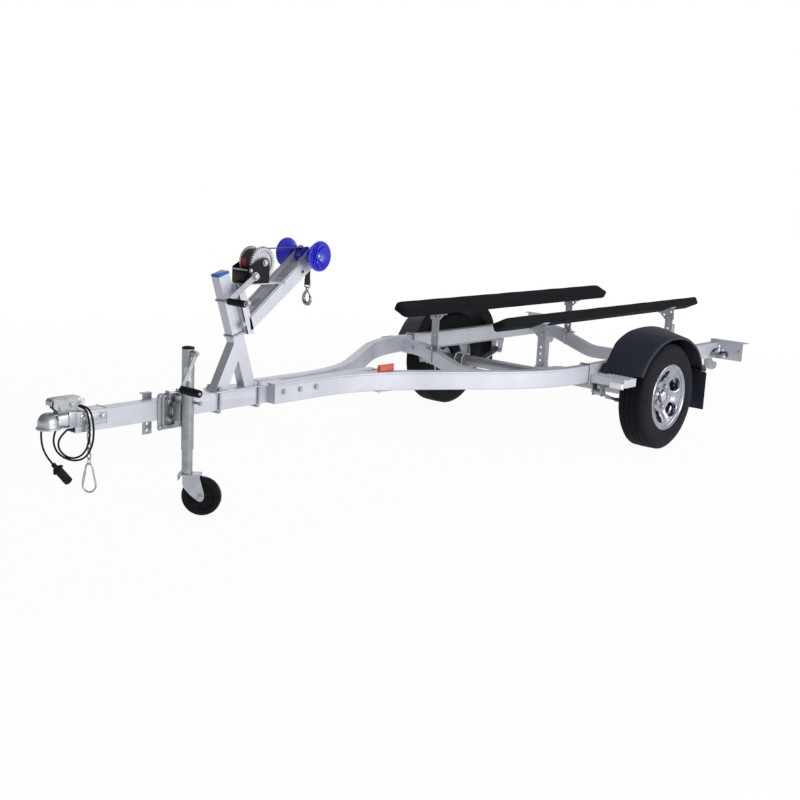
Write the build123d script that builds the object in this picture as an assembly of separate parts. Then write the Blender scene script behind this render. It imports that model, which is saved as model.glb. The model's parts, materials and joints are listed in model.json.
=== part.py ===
from build123d import *
import math
import os

os.makedirs("parts", exist_ok=True)

# Jet-ski trailer. Millimetres, X forwards, Y to the left, Z up from the ground.
# Lengths along X are written from the axle line; every piece moves by -MID at the end.

# Wheels and axle
WHEEL_R = 290.0
TYRE_IN = 673.0
TYRE_OUT = 837.0
FLANGE_R = 182.5
SEAT_R = 165.0
SPINDLE_R = 17.0
RUN_FIT = 0.05
AXLE_Z = WHEEL_R
AXLE_R = 33.0

# Frame
BAR_Z0 = 396.0
BAR_H = 80.0
BAR_W = 62.0
BAR_REAR = 1480.0
BAR_FRONT = 3190.0
BAR_TOP = BAR_Z0 + BAR_H
SIDE = BAR_W / 2
RAIL_H = 90.0
RAIL_T = 50.0
RAIL_TOP = BAR_Z0 + RAIL_H
RAIL_FRONT = 2210.0
RAIL_REAR = -955.0
RAIL_Y = 605.0
RAIL_NOSE_Y = BAR_W / 2 + RAIL_T / 2
BEND_FRONT = 1656.0
BEND_REAR = 811.0
BEND_R = 870.0
WALL = 4.0
CROSS_X = 575.0
CROSS_REAR_X = -800.0
CROSS_D = 50.0
CROSS_H = 74.0
CROSS_HIGH = 428.0
CROSS_LOW = 333.0
CROSS_Y_OUT = 455.0
CROSS_Y_IN = 175.0

# Bunks
BUNK_FRONT = 925.0
BUNK_REAR = -1140.0
BUNK_W = 100.0
BUNK_T = 50.0
BUNK_Y = 335.0
BUNK_Z = 688.0
BUNK_TILT = 25.0

# Coupler and jockey wheel
NOSE_X = 3334.0
BALL_X = 3289.0
BALL_Z = 446.0
BALL_R = 25.0
JOCKEY_X = 2718.0
JOCKEY_Y = 112.0
JOCKEY_PIVOT_Z = 430.0
JOCKEY_R = 82.5
JOCKEY_TRAIL = 61.0
JOCKEY_YAW = 131.0
OUTER_R = 25.5
INNER_R = 22.5

# Winch gear
LEAN = math.degrees(math.atan(0.32))
ROLLER_X = 1985.0
ROLLER_Z = 1045.0
ROLLER_R = 68.0
DRUM_X = ROLLER_X + 277.0
DRUM_Z = 1020.0
CRANK_X = DRUM_X + 70.0
CRANK_Z = DRUM_Z - 54.0
DECK_Z = 926.0

MID = (NOSE_X + BUNK_REAR) / 2


def box(x0, x1, y0, y1, z0, z1):
    return Pos((x0 + x1) / 2, (y0 + y1) / 2, (z0 + z1) / 2) * Box(x1 - x0, y1 - y0, z1 - z0)


def cyl_y(r, x, z, y0, y1):
    return Pos(x, (y0 + y1) / 2, z) * Rot(90, 0, 0) * Cylinder(r, y1 - y0)


def cyl_z(r, x, y, z0, z1):
    return Pos(x, y, (z0 + z1) / 2) * Cylinder(r, z1 - z0)


def slab_xz(points, y0, y1):
    """A flat outline in the XZ plane, from y0 to y1."""
    flat = Plane.XZ * make_face(Polyline(*points, close=True))
    return Pos(0, y1, 0) * extrude(flat, amount=y1 - y0)


def slab_xy(points, z0, z1):
    return Pos(0, 0, z0) * extrude(make_face(Polyline(*points, close=True)), amount=z1 - z0)


def run_section(path, width, height, up, wall):
    """A hollow rectangular section carried along a path; up is the direction of its width."""
    start = Plane(origin=path @ 0, x_dir=up, z_dir=path % 0)
    whole = sweep(start * Rectangle(width, height), path=path)
    core = sweep(start * Rectangle(width - 2 * wall, height - 2 * wall), path=path)
    return whole - core


def spun(points):
    """Turn a closed outline of (radius, height) rows about Y through the origin."""
    flat = make_face(Polyline(*[(r, y) for r, y in points], close=True))
    return revolve(flat, Axis.Y)


def mirrored(shape):
    return mirror(shape, about=Plane.XZ)


made = {}


def put(name, shape):
    made[name] = shape
    moved = Pos(-MID, 0, 0) * shape
    export_step(moved, f"parts/{name}.step")
    b = moved.bounding_box()
    print(f"{name:26s} solids {len(shape.solids())} vol {shape.volume / 1e3:9.1f} cm3 "
          f"x {b.min.X:8.1f} {b.max.X:8.1f} y {b.min.Y:7.1f} {b.max.Y:7.1f} z {b.min.Z:7.1f} {b.max.Z:7.1f}")


def pair(name, shape):
    put(name + "_left", shape)
    put(name + "_right", mirrored(shape))


def both(name, shape):
    """A like pair on the frame, kept in one file as two solids."""
    put(name, Compound(children=[shape, mirrored(shape)]))


# Drawbar with the tie plate under its rear end
bar = box(BAR_REAR, BAR_FRONT, -BAR_W / 2, BAR_W / 2, BAR_Z0, BAR_TOP)
bar -= box(BAR_REAR - 1, BAR_FRONT + 1, -BAR_W / 2 + WALL, BAR_W / 2 - WALL, BAR_Z0 + WALL, BAR_TOP - WALL)
bar += box(BAR_REAR, BAR_REAR + 120, -150, 150, BAR_Z0 - 6, BAR_Z0)
put("drawbar", bar)

# Side rails, bent outwards from the drawbar
rail_path = FilletPolyline(
    (RAIL_FRONT, RAIL_NOSE_Y, BAR_Z0 + RAIL_H / 2),
    (BEND_FRONT, RAIL_NOSE_Y, BAR_Z0 + RAIL_H / 2),
    (BEND_REAR, RAIL_Y, BAR_Z0 + RAIL_H / 2),
    (RAIL_REAR, RAIL_Y, BAR_Z0 + RAIL_H / 2),
    radius=BEND_R)
pair("rail", run_section(rail_path, RAIL_H, RAIL_T, (0, 0, 1), WALL))

# Drop-centre crossmembers between the rails
CROSS_END = RAIL_Y - RAIL_T / 2
cross_path = FilletPolyline(
    (0, -CROSS_END, CROSS_HIGH), (0, -CROSS_Y_OUT, CROSS_HIGH), (0, -CROSS_Y_IN, CROSS_LOW),
    (0, CROSS_Y_IN, CROSS_LOW), (0, CROSS_Y_OUT, CROSS_HIGH), (0, CROSS_END, CROSS_HIGH),
    radius=300)
cross = run_section(cross_path, CROSS_D, CROSS_H, (1, 0, 0), WALL)
CROSS_COPE = 1.5
coped = cross & box(-60, 60, -CROSS_END + CROSS_COPE, CROSS_END - CROSS_COPE, 200, 600)
put("crossmember_front", Pos(CROSS_X, 0, 0) * coped)
put("crossmember_rear", Pos(CROSS_REAR_X, 0, 0) * cross)

# Axle tube with a saddle over each spring and a spindle for each wheel
SPRING_Y = RAIL_Y
SPRING_W = 45.0
EYE_X = 360.0
EYE_Z = 325.0
EYE_R = 17.0
PIN_R = 8.0
LEAF_T = 7.0
LEAF_MID_Z = 248.0
LEAF_SAG = EYE_Z - LEAF_MID_Z
LEAF_R = (EYE_X ** 2 + LEAF_SAG ** 2) / (2 * LEAF_SAG)
LEAF_C = LEAF_MID_Z + LEAF_R
LEAF_TOP = LEAF_MID_Z + LEAF_T / 2
HUB_IN = TYRE_IN + 69.0
HUB_OUT = HUB_IN + 70.0
SPINDLE_END = HUB_OUT - 22.0
axle = cyl_y(AXLE_R, 0, AXLE_Z, -660, 660) - cyl_y(AXLE_R - 5, 0, AXLE_Z, -661, 661)
for s in (-1, 1):
    axle += cyl_y(AXLE_R, 0, AXLE_Z, min(s * 640, s * 664), max(s * 640, s * 664))
    axle += cyl_y(SPINDLE_R, 0, AXLE_Z, min(s * 660, s * SPINDLE_END), max(s * 660, s * SPINDLE_END))
    axle += cyl_y(24, 0, AXLE_Z, min(s * 660, s * 734), max(s * 660, s * 734))
    y0, y1 = s * SPRING_Y - SPRING_W / 2, s * SPRING_Y + SPRING_W / 2
    saddle = box(-45, 45, y0, y1, LEAF_TOP - 3, AXLE_Z)
    saddle &= cyl_y(LEAF_R - LEAF_T / 2, 0, LEAF_C, y0 - 1, y1 + 1)
    axle += saddle - cyl_y(AXLE_R - 1, 0, AXLE_Z, y0 - 1, y1 + 1)
put("axle_beam", axle)


def leaf(r0, r1, half):
    """One spring leaf: a band of an arc about (0, LEAF_C), cut to a half length."""
    y0, y1 = SPRING_Y - SPRING_W / 2, SPRING_Y + SPRING_W / 2
    ring = cyl_y(r1, 0, LEAF_C, y0, y1) - cyl_y(r0, 0, LEAF_C, y0 - 1, y1 + 1)
    return ring & box(-half, half, y0 - 2, y1 + 2, 200, 400)


spring = leaf(LEAF_R - LEAF_T / 2, LEAF_R + LEAF_T / 2, EYE_X)
spring += leaf(LEAF_R + LEAF_T / 2, LEAF_R + 1.5 * LEAF_T, 250)
spring += leaf(LEAF_R + 1.5 * LEAF_T, LEAF_R + 2.5 * LEAF_T, 150)
for s in (-1, 1):
    spring += cyl_y(EYE_R, s * EYE_X, EYE_Z, SPRING_Y - SPRING_W / 2, SPRING_Y + SPRING_W / 2)
for s in (-1, 1):
    spring -= cyl_y(PIN_R, s * EYE_X, EYE_Z, SPRING_Y - SPRING_W, SPRING_Y + SPRING_W)
PLATE_TOP = LEAF_C - LEAF_R - 2.5 * LEAF_T + 1.5
spring += box(-50, 50, SPRING_Y - 36, SPRING_Y + 36, PLATE_TOP - 10, PLATE_TOP)
pair("leaf_spring", spring)

# Spring mounts: a strip under the rail with two cheeks and a pin at each end
mounts = box(-392, 392, RAIL_Y - RAIL_T / 2, RAIL_Y + RAIL_T / 2, BAR_Z0 - 6, BAR_Z0)
for s in (-1, 1):
    cheek = [(s * EYE_X - 32, BAR_Z0 - 6), (s * EYE_X + 32, BAR_Z0 - 6), (s * EYE_X + 16, EYE_Z - 20),
             (s * EYE_X - 16, EYE_Z - 20)]
    for y in (SPRING_Y - SPRING_W / 2 - 5.5, SPRING_Y + SPRING_W / 2 + 0.5):
        mounts += slab_xz(cheek, y, y + 5)
    mounts += cyl_y(PIN_R, s * EYE_X, EYE_Z, SPRING_Y - SPRING_W / 2 - 12, SPRING_Y + SPRING_W / 2 + 12)
both("spring_mounts", mounts)

# Wheels
W = TYRE_OUT - TYRE_IN
# Half profiles of tyre and rim: radius, then distance from the inner face
tyre_out = [(SEAT_R + 2, 18), (FLANGE_R - 2, 10), (FLANGE_R + 12, 4), (232, 0), (262, 4), (281, 14),
            (WHEEL_R - 1, 30), (WHEEL_R, 55)]
tyre_in = [(276, 48), (266, 20), (232, 12), (FLANGE_R + 18, 26), (SEAT_R + 2, 34)]
tyre_rows = tyre_out + [(r, W - y) for r, y in reversed(tyre_out)]
tyre_rows += [(r, W - y) for r, y in reversed(tyre_in)] + tyre_in
tyre = Pos(0, TYRE_IN, AXLE_Z) * spun(tyre_rows)
pair("tyre", tyre)

rim_rows = [(FLANGE_R - 2, 10), (FLANGE_R - 9, 4), (FLANGE_R - 12, 8), (SEAT_R - 4, 22), (SEAT_R - 8, 44),
            (142, 62), (142, 116), (158, 128), (158, 146), (FLANGE_R - 14, W - 10), (FLANGE_R - 10, W - 4),
            (FLANGE_R - 4, W - 4), (FLANGE_R - 2, W - 10), (SEAT_R + 2, W - 18), (SEAT_R + 2, W - 38),
            (148, W - 50), (148, 70), (SEAT_R - 1, 50), (SEAT_R + 2, 34), (SEAT_R + 2, 18)]
rim = Pos(0, TYRE_IN, AXLE_Z) * spun(rim_rows)
SPOKE_Y0 = TYRE_IN + 123
SPOKE_TURN = 46
rim += cyl_y(58, 0, AXLE_Z, HUB_IN, HUB_OUT)
spoke = slab_xz([(-34, 40), (34, 40), (44, 154), (-44, 154)], SPOKE_Y0, SPOKE_Y0 + 21)
for i in range(5):
    rim += Pos(0, 0, AXLE_Z) * Rot(0, SPOKE_TURN + 72 * i, 0) * spoke
band = cyl_y(SEAT_R - 5, 0, AXLE_Z, SPOKE_Y0, SPOKE_Y0 + 16)
rim += band - cyl_y(128, 0, AXLE_Z, SPOKE_Y0 - 1, SPOKE_Y0 + 20)
rim += cyl_y(30, 0, AXLE_Z, HUB_OUT - 1, HUB_OUT + 22)
rim -= cyl_y(SPINDLE_R + RUN_FIT, 0, AXLE_Z, HUB_IN - 1, SPINDLE_END + 6)
pair("rim", rim)

# Mudguards: a shell falling from a high inner edge to a lower outer lip, with a flap behind
GUARD_IN = 655.0
GUARD_OUT = 848.0
GUARD_REAR = -394.0
GUARD_T = 4.0
STEP_TOP = 440.0
# Outline rows: x and z at the inner edge, then x and z at the outer lip
guard_rows = [
    (436, 380, 352, 380), (432, 452, 342, 442), (372, 512, 296, 505), (335, 560, 248, 548),
    (291, 602, 165, 596), (190, 645, 65, 621), (-130, 656, -62, 620), (-225, 630, -172, 590),
    (-305, 580, -262, 538), (-366, 505, -316, 476), (-390, 405, -352, 405), (-390, 345, -370, 345)]


def guard_solid(y0, y1, inset):
    """The arch between two stations, its outline drawn inwards and down by the inset."""
    faces = []
    for y, k in ((y0, 0), (y1, 2)):
        rows = [(r[k] * (1 - inset / 330), 300 + (r[k + 1] - 300) * (1 - inset / 330)) for r in guard_rows]
        rows = [(rows[0][0], 300)] + rows[1:-1] + [(rows[-1][0], 300)]
        faces.append(Pos(0, y, 0) * (Plane.XZ * make_face(Polyline(*rows, close=True))))
    return loft(faces, ruled=True)


guard = guard_solid(GUARD_IN, GUARD_OUT, 0)
guard -= guard_solid(GUARD_IN - 1, GUARD_OUT - GUARD_T, GUARD_T)
guard -= guard_solid(GUARD_IN - 1, GUARD_OUT + 1, 16)
guard -= box(0, 600, 600, 900, 250, STEP_TOP)
guard -= box(-600, 0, 600, 900, 250, 404)
guard += box(GUARD_REAR, -345, GUARD_IN + 6, GUARD_OUT - 1, 404, 409)
guard += box(GUARD_REAR, GUARD_REAR + GUARD_T, GUARD_IN + 6, GUARD_OUT, 174, 430)
pair("mudguard", guard)

# Guard brackets: a front step box and a rear stay on the rail's outer face
RAIL_OUT = RAIL_Y + RAIL_T / 2
STEP_FRONT = 502.0
STEP_CUT = 10.0
step_rows = [(400, RAIL_OUT), (STEP_FRONT, RAIL_OUT), (STEP_FRONT, GUARD_OUT - STEP_CUT),
             (STEP_FRONT - STEP_CUT, GUARD_OUT), (400, GUARD_OUT)]
step = slab_xy(step_rows, STEP_TOP - 42, STEP_TOP)
step -= box(404, STEP_FRONT - 4, RAIL_OUT + 4, GUARD_OUT - STEP_CUT, STEP_TOP - 43, STEP_TOP - 4)
stay = box(GUARD_REAR - 5, GUARD_REAR, RAIL_OUT, GUARD_OUT - 8, 386, 430)
stay += box(GUARD_REAR - 45, GUARD_REAR, RAIL_OUT, RAIL_OUT + 5, 404, 448)
pair("guard_brackets", step + stay)

# White marker lamps on the steps' front faces, and an amber side lamp on a foot over the left rail's bend
step_lamp = box(STEP_FRONT, STEP_FRONT + 5, 755, 837, 388, 420)
step_lamp += box(STEP_FRONT + 5, STEP_FRONT + 13, 759, 833, 391, 417)
both("step_lamps", chamfer(step_lamp.faces().sort_by(Axis.X)[-1].edges(), 4))
LAMP_X0 = 1495.0
LAMP_X1 = 1594.0
LAMP_Y = 131.0
foot = box(LAMP_X0 - 15, LAMP_X1 - 34, LAMP_Y - 71, LAMP_Y, RAIL_TOP, RAIL_TOP + 3)
foot += box(LAMP_X0, LAMP_X1, LAMP_Y - 3, LAMP_Y, RAIL_TOP, RAIL_TOP + 32)
amber = box(LAMP_X0, LAMP_X1, LAMP_Y, LAMP_Y + 17, RAIL_TOP + 1, RAIL_TOP + 34)
amber = chamfer(amber.faces().sort_by(Axis.Y)[-1].edges(), 5)
put("side_lamp", foot + amber)

# Tail panels closing the rail ends, each with a wiring slot and two lamp bolt holes
PANEL_T = 5.0
PANEL_FACE = RAIL_REAR - 0.2
PANEL_TOP = 498.0
panel = box(PANEL_FACE - PANEL_T, PANEL_FACE, RAIL_Y - RAIL_T / 2, 792, PANEL_TOP - 110, PANEL_TOP)
panel += box(PANEL_FACE - 34, PANEL_FACE, RAIL_Y - RAIL_T / 2, 814, PANEL_TOP, PANEL_TOP + PANEL_T)
panel -= box(PANEL_FACE - PANEL_T - 1, PANEL_FACE + 1, 636, 646, PANEL_TOP - 70, PANEL_TOP - 28)
for y in (668, 768):
    panel -= Pos(PANEL_FACE, y, PANEL_TOP - 55) * Rot(0, 90, 0) * Cylinder(5, 20)
both("tail_panels", panel)

# Bunks, laid flat and tipped inwards
bunk = Box(BUNK_FRONT - BUNK_REAR, BUNK_W, BUNK_T)
bunk = chamfer(bunk.faces().filter_by(Axis.X).edges(), 18)
bunk = Pos((BUNK_FRONT + BUNK_REAR) / 2, BUNK_Y, BUNK_Z) * Rot(BUNK_TILT, 0, 0) * bunk
pair("bunk", bunk)

# Bunk brackets: a foot on the crossmember, a perforated angle and a fan-shaped head under the bunk
SLOPE = math.degrees(math.atan2(CROSS_HIGH - CROSS_LOW, CROSS_Y_OUT - CROSS_Y_IN))
FOOT_Y = 362.0
FOOT_T = 6.0
ANGLE_W = 50.0
ANGLE_T = 5.0
FAN_W = 92.0
FAN_H = 70.0
foot_slope = math.radians(SLOPE)
foot_top = CROSS_LOW + (FOOT_Y - CROSS_Y_IN) * math.tan(foot_slope) + CROSS_H / 2 / math.cos(foot_slope)
tilt = math.radians(BUNK_TILT)
head_y = BUNK_Y + (BUNK_T + FOOT_T) / 2 * math.sin(tilt)
head_z = BUNK_Z - (BUNK_T + FOOT_T) / 2 * math.cos(tilt)
foot_mid = Pos(0, FOOT_Y - FOOT_T / 2 * math.sin(foot_slope), foot_top + FOOT_T / 2 * math.cos(foot_slope))
bracket = foot_mid * Rot(SLOPE, 0, 0) * Box(96, 62, FOOT_T)
head = Pos(0, head_y, head_z) * Rot(BUNK_TILT, 0, 0)
bracket += head * Box(60, FAN_W, FOOT_T)
fan_rows = [(-FAN_W / 2, 0), (FAN_W / 2, 0), (FAN_W / 2, -14), (26, -FAN_H), (-22, -FAN_H), (-FAN_W / 2, -14)]
fan = extrude(Plane.YZ * make_face(Polyline(*fan_rows, close=True)), amount=ANGLE_T)
for u, v in ((-26, -22), (26, -22), (2, -46)):
    fan -= Pos(0, u, v) * Rot(0, 90, 0) * Cylinder(6.5, 20)
bracket += head * fan
UPRIGHT_TOP = head_z - 34
ANGLE_Y0 = FOOT_Y - 22
ANGLE_Y1 = ANGLE_Y0 + ANGLE_W
angle_rows = [(y, foot_top + FOOT_T / 2 + (y - FOOT_Y) * math.tan(foot_slope)) for y in (ANGLE_Y0, ANGLE_Y1)]
angle_rows += [(ANGLE_Y1, UPRIGHT_TOP), (ANGLE_Y0, UPRIGHT_TOP)]
bracket += extrude(Plane.YZ * make_face(Polyline(*angle_rows, close=True)), amount=-ANGLE_T)
bracket += box(-38, 0, ANGLE_Y1 - ANGLE_T, ANGLE_Y1, angle_rows[1][1], UPRIGHT_TOP - 50)
for rise in (45, 80, 115):
    bracket -= Pos(0, FOOT_Y, foot_top + rise) * Rot(0, 90, 0) * Cylinder(6.5, 20)
pair("bunk_bracket_front", Pos(CROSS_X, 0, 0) * bracket)
pair("bunk_bracket_rear", Pos(CROSS_REAR_X, 0, 0) * bracket)

# Ball coupler on the drawbar's nose, its latch on top
COUP_T = 4.0
COUP_REAR = 3048.0
COUP_TOP = BAR_TOP + COUP_T
COUP_LOW = BAR_TOP - 56
COUP_HALF = SIDE + COUP_T
SLEEVE_END = BAR_FRONT + 6
WALL_FRONT = BAR_FRONT + 10
WALL_REAR = BAR_FRONT - 4
NECK_HALF = 26.0
CUP_R = NOSE_X - BALL_X - 6
SOCKET_R = BALL_R + 0.4
RIM_Z = BALL_Z - 24
RIM_T = 7.0
coup = box(COUP_REAR, SLEEVE_END, -COUP_HALF, COUP_HALF, COUP_LOW, COUP_TOP)
coup -= box(COUP_REAR - 1, WALL_FRONT, -SIDE, SIDE, BAR_TOP - 60, BAR_TOP)
neck = box(BAR_FRONT, BALL_X, -NECK_HALF, NECK_HALF, RIM_Z + 2, COUP_TOP)
neck += box(WALL_REAR, WALL_FRONT, -COUP_HALF, COUP_HALF, COUP_LOW, COUP_TOP)
neck -= box(WALL_REAR - 6, BAR_FRONT, -SIDE, SIDE, BAR_TOP - 60, BAR_TOP)
cup = cyl_z(CUP_R, BALL_X, 0, RIM_Z, BALL_Z)
cup += Pos(BALL_X, 0, BALL_Z) * Sphere(CUP_R)
cup += cyl_z(NOSE_X - BALL_X, BALL_X, 0, RIM_Z, RIM_Z + RIM_T)
coup = coup + neck + cup
coup -= Pos(BALL_X, 0, BALL_Z) * Sphere(SOCKET_R)
coup -= cyl_z(SOCKET_R, BALL_X, 0, BALL_Z - 60, BALL_Z)
CHAIN_X = 3141.0
CHAIN_Y = 46.3
CHAIN_TOP = 425.0
CHAIN_PIN_Z = CHAIN_TOP + 6.0
coup += cyl_y(4, CHAIN_X, CHAIN_PIN_Z, COUP_HALF - 1, CHAIN_Y + 5.7)
coup += cyl_y(7, CHAIN_X, CHAIN_PIN_Z, CHAIN_Y + 4.7, CHAIN_Y + 8.7)
put("coupler", coup)

LATCH_X = 3166.0
LATCH_Z = COUP_TOP
latch_rows = [(0, 2), (86, 2), (108, 20), (108, 51), (96, 57), (0, 57)]
latch_hollow = [(6, 10), (74, 10), (96, 25), (100, 48), (6, 51)]
latch = slab_xz([(LATCH_X + x, LATCH_Z + z) for x, z in latch_rows], -17, 17)
latch -= slab_xz([(LATCH_X + x, LATCH_Z + z) for x, z in latch_hollow], -13, 13)
latch += box(LATCH_X, LATCH_X + 86, -17, 17, LATCH_Z, LATCH_Z + 6)
put("coupler_latch", latch)

# Perforated strip on the drawbar's far side
CLIP_X0 = 2790.0
CLIP_X1 = 2834.0
CLIP_LOW = 327.0
CLIP_HIGH = 501.0
clip = box(CLIP_X0, CLIP_X1, -SIDE - 5, -SIDE, CLIP_LOW, CLIP_HIGH)
clip += box(CLIP_X0, CLIP_X1, -SIDE - 22, -SIDE, CLIP_HIGH - 5, CLIP_HIGH)
for z in (CLIP_LOW + 16, CLIP_LOW + 44):
    clip -= cyl_y(6.5, (CLIP_X0 + CLIP_X1) / 2, z, -SIDE - 10, -SIDE + 1)
put("drawbar_clip", clip)

# Jockey wheel: plate on the drawbar, swing tube, sliding tube, castor fork, wheel, crank
jbracket = box(JOCKEY_X - 40, JOCKEY_X + 92, SIDE, SIDE + 5, 354, 506)
jbracket += cyl_y(34, JOCKEY_X, JOCKEY_PIVOT_Z, SIDE + 4, SIDE + 13)
jbracket += cyl_y(9, JOCKEY_X, JOCKEY_PIVOT_Z, SIDE + 4, JOCKEY_Y - OUTER_R - 6)
put("jockey_bracket", jbracket)

swing = cyl_z(OUTER_R, JOCKEY_X, JOCKEY_Y, 278, 692) + cyl_z(OUTER_R + 2, JOCKEY_X, JOCKEY_Y, 684, 704)
swing -= cyl_z(INNER_R + 0.3, JOCKEY_X, JOCKEY_Y, 270, 672)
y_in = SIDE + 18.5
cage = box(JOCKEY_X - 30, JOCKEY_X + 30, y_in, JOCKEY_Y, 392, 470)
cage -= box(JOCKEY_X - 40, JOCKEY_X + 40, y_in + 5, JOCKEY_Y + 1, 396, 464)
swing += cage + box(JOCKEY_X - 30, JOCKEY_X + 30, JOCKEY_Y - OUTER_R - 4, JOCKEY_Y - 16, 392, 470)
swing += cyl_y(34, JOCKEY_X, JOCKEY_PIVOT_Z, y_in, y_in + 5)
swing -= cyl_y(9 + RUN_FIT, JOCKEY_X, JOCKEY_PIVOT_Z, SIDE, JOCKEY_Y - OUTER_R)
swing -= cyl_z(INNER_R + 0.3, JOCKEY_X, JOCKEY_Y, 270, 672)
JC_Z = 680.0
JC_Y = JOCKEY_Y + OUTER_R + 18
swing += cyl_y(13, JOCKEY_X, JC_Z, JOCKEY_Y + OUTER_R - 3, JC_Y)
put("jockey_outer_tube", swing)

FORK_Z = 2 * JOCKEY_R + 6
FORK_T = 6.0
TUBE_FOOT = FORK_Z + FORK_T + 1
slide = cyl_z(INNER_R, JOCKEY_X, JOCKEY_Y, TUBE_FOOT, 560)
slide -= cyl_z(INNER_R - 3, JOCKEY_X, JOCKEY_Y, TUBE_FOOT + 8, 561)
slide += cyl_z(9, JOCKEY_X, JOCKEY_Y, FORK_Z - 6, TUBE_FOOT + 2)
put("jockey_inner_tube", slide)

a = math.radians(JOCKEY_YAW)
WHEEL_JX = JOCKEY_X + JOCKEY_TRAIL * math.cos(a)
WHEEL_JY = JOCKEY_Y + JOCKEY_TRAIL * math.sin(a)
castor = Pos(JOCKEY_X, JOCKEY_Y, 0) * Rot(0, 0, JOCKEY_YAW)
CHEEK_T = 4.0
FORK_IN = 25.0
fork_out = FORK_IN + CHEEK_T
fork = box(-34, JOCKEY_TRAIL + 10, -fork_out, fork_out, FORK_Z, FORK_Z + FORK_T)
# Cheek outline: along the trail from the wheel's pin, and up from it
fork_rows = [(-JOCKEY_TRAIL - 32, FORK_Z - JOCKEY_R), (10, FORK_Z - JOCKEY_R), (18, 30), (19, 4), (13, -11),
             (3, -17), (-8, -15), (-17, -5)]
for y in (-fork_out, FORK_IN):
    fork += slab_xz([(JOCKEY_TRAIL + u, JOCKEY_R + v) for u, v in fork_rows], y, y + CHEEK_T)
fork += cyl_y(6, JOCKEY_TRAIL, JOCKEY_R, -33, 33)
fork -= cyl_z(9 + RUN_FIT, 0, 0, FORK_Z - 10, FORK_Z + 20)
put("jockey_fork", castor * fork)

tread_r = JOCKEY_R - 5
half_jw = [(JOCKEY_R, 12), (tread_r, 18), (54, 18), (50, 12), (18, 12), (16, 21), (6 + RUN_FIT, 21)]
jw = [(r, -y) for r, y in reversed(half_jw)] + half_jw
put("jockey_wheel", castor * Pos(JOCKEY_TRAIL, 0, JOCKEY_R) * spun(jw))

jcrank = cyl_y(10, JOCKEY_X, JC_Z, JC_Y, JC_Y + 16)
dx, dz = 74, -136
hand_x, hand_z = JOCKEY_X + dx, JC_Z + dz
n = math.hypot(dx, dz)
px, pz = -dz / n * 9, dx / n * 9
jcrank += slab_xz([(JOCKEY_X + px, JC_Z + pz), (JOCKEY_X - px, JC_Z - pz), (hand_x - px, hand_z - pz),
                   (hand_x + px, hand_z + pz)], JC_Y + 6, JC_Y + 11)
jcrank += cyl_y(12, JOCKEY_X, JC_Z, JC_Y, JC_Y + 14) + cyl_y(10, hand_x, hand_z, JC_Y + 2, JC_Y + 16)
jcrank += cyl_y(16.5, hand_x, hand_z, JC_Y + 14, JC_Y + 124)
put("jockey_crank", jcrank)

# Winch post with its brace on a base plate clamped to the drawbar
lean = math.radians(LEAN)
BASE_Z = BAR_TOP + 6
post = box(2215, 2510, -48, 48, BAR_TOP, BASE_Z) + box(2096, 2216, -29, 29, BAR_TOP, BASE_Z)
PF = 2338.0
PW = 60.0 / math.cos(lean)


def front_x(z):
    """X of the post's front face at height z."""
    return PF + 0.32 * (z - 480)


top_z = 962.0
cap_dx, cap_dz = 60 * math.cos(lean), 60 * math.sin(lean)
post_rows = [(front_x(BASE_Z), BASE_Z), (front_x(top_z), top_z),
             (front_x(top_z) - cap_dx, top_z + cap_dz), (front_x(BASE_Z) - PW, BASE_Z)]
post += slab_xz(post_rows, -25, 25)
brace_rows = [(2500, BASE_Z), (front_x(678), 678), (front_x(600), 600), (2434, BASE_Z)]
post += slab_xz(brace_rows, -25, 25)
put("winch_post", post)

# Winch carrier: channel on the back of the post, two arms and the winch deck


def back_x(z, gap=0.0):
    return front_x(z) - PW - gap / math.cos(lean)


CHAN_LOW = 716.0
CHAN_TOP = 932.0
chan = slab_xz([(back_x(CHAN_LOW), CHAN_LOW), (back_x(CHAN_TOP), CHAN_TOP), (back_x(CHAN_TOP, 6), CHAN_TOP),
                (back_x(CHAN_LOW, 6), CHAN_LOW)], -50, 50)
for s in (-1, 1):
    y0, y1 = (44, 50) if s > 0 else (-50, -44)
    chan += slab_xz([(back_x(CHAN_LOW), CHAN_LOW), (back_x(CHAN_TOP), CHAN_TOP),
                     (back_x(CHAN_TOP, 40), CHAN_TOP), (back_x(CHAN_LOW, 40), CHAN_LOW)], y0, y1)
    arm = [(2330, 728), (1951, 1003), (1951, 1060), (1962, 1084), (2345, 787)]
    y0, y1 = (25, 50) if s > 0 else (-50, -25)
    chan += slab_xz(arm, y0, y1)
chan += box(2150, 2402, -50, 50, DECK_Z, DECK_Z + 6)
chan -= cyl_y(10 + RUN_FIT, ROLLER_X, ROLLER_Z, -60, 60)
put("winch_carrier", chan)

# Hand winch
SPOOL_R = 55.0
DECK = DECK_Z + 6
FRAME_REAR = DRUM_X - 27
FRAME_FRONT = DRUM_X + 92
FRAME_LIP = DECK + 68
SHEET_T = 4.0
FRAME_IN = 50.0
frame_out = FRAME_IN + SHEET_T
wf = box(FRAME_REAR, FRAME_FRONT, -frame_out, frame_out, DECK, DECK + SHEET_T)
cheek = [(FRAME_REAR, DECK), (FRAME_FRONT, DECK), (FRAME_FRONT, FRAME_LIP), (DRUM_X + 14, DRUM_Z + 18),
         (DRUM_X, DRUM_Z + 20), (DRUM_X - 16, DRUM_Z + 14), (FRAME_REAR, DRUM_Z)]
for y in (-frame_out, FRAME_IN):
    wf += slab_xz(cheek, y, y + SHEET_T)
wf += box(FRAME_FRONT - SHEET_T, FRAME_FRONT, -frame_out, frame_out, DECK, FRAME_LIP - 4)
wf += cyl_y(5, FRAME_FRONT - 12, FRAME_LIP - 14, -FRAME_IN - 1, FRAME_IN + 1)
wf -= cyl_y(10 + RUN_FIT, DRUM_X, DRUM_Z, -60, 60)
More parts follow.
